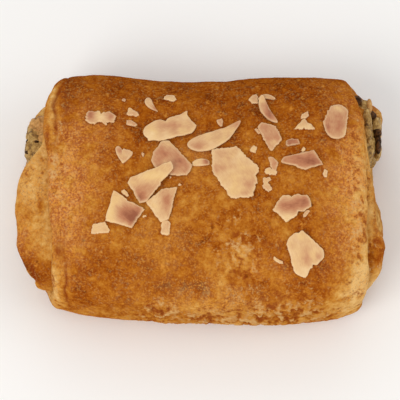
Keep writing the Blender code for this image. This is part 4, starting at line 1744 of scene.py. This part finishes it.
@dataclass(frozen=True)
class Studio:
    """The pale floor, the soft light and the camera at the photograph's angle.

    Sizes are in metres. A light is its name, its place, its size, its power and its colour.
    """

    floor_half: float = 1.5
    elevation: float = 68.0
    distance: float = 0.7
    target_height: float = 0.017
    frame_width: float = 0.1312
    sensor: float = 36.0
    sky: float = 0.62
    lights: tuple[tuple[str, Colour, float, float, Colour], ...] = (
        ("key", (-0.45, -0.55, 0.75), 0.5, 4.2, (1.0, 0.98, 0.95)),
        ("side", (0.65, -0.15, 0.55), 0.6, 1.4, (1.0, 0.99, 0.98)),
        ("behind", (0.0, 0.7, 0.6), 0.7, 0.9, (1.0, 1.0, 1.0)),
    )

    def build(self) -> None:
        """Makes the floor, the lights and the camera."""
        mesh = bmesh.new()
        bmesh.ops.create_grid(mesh, x_segments=1, y_segments=1, size=self.floor_half)
        data = bpy.data.meshes.new("floor")
        mesh.to_mesh(data)
        mesh.free()
        data.materials.append(PaleFloor().material)
        floor = bpy.data.objects.new("floor", data)
        bpy.context.scene.collection.objects.link(floor)

        for name, place, size, watts, colour in self.lights:
            lamp = bpy.data.lights.new(name, "AREA")
            lamp.size, lamp.energy, lamp.color = size, watts, colour
            self.hang(name, lamp, Vector(place))

        world = bpy.data.worlds.new("studio")
        world.use_nodes = True
        background = world.node_tree.nodes["Background"]
        background.inputs["Color"].default_value = (1, 1, 1, 1)
        background.inputs["Strength"].default_value = self.sky
        bpy.context.scene.world = world
        bpy.context.scene.view_settings.view_transform = "Standard"

        lens = bpy.data.cameras.new("camera")
        lens.sensor_width = self.sensor
        lens.lens = self.sensor * self.distance / self.frame_width
        tilt = math.radians(self.elevation)
        back = Vector((0, -math.cos(tilt), math.sin(tilt)))
        place = Vector((0, 0, self.target_height)) + back * self.distance
        bpy.context.scene.camera = self.hang("camera", lens, place)

    def hang(self, name: str, data: bpy.types.ID, place: Vector) -> bpy.types.Object:
        """Puts a light or a camera at a place, turned towards the pastry.

        Args:
            name: its name.
            data: the light or the lens.
            place: where it hangs, in metres.

        Returns:
            Its object.
        """
        thing = bpy.data.objects.new(name, data)
        thing.location = place
        thing.rotation_mode = "QUATERNION"
        thing.rotation_quaternion = (Vector((0, 0, self.target_height)) - place).to_track_quat("-Z", "Y")
        bpy.context.scene.collection.objects.link(thing)
        return thing


def main() -> None:
    """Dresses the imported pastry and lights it."""
    logging.basicConfig(level=logging.INFO, format="%(message)s")
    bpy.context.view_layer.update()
    wrap = Dough().build()
    Filling().build()
    AlmondTopping().build(wrap)
    Studio().build()


if __name__ == "__main__":
    main()
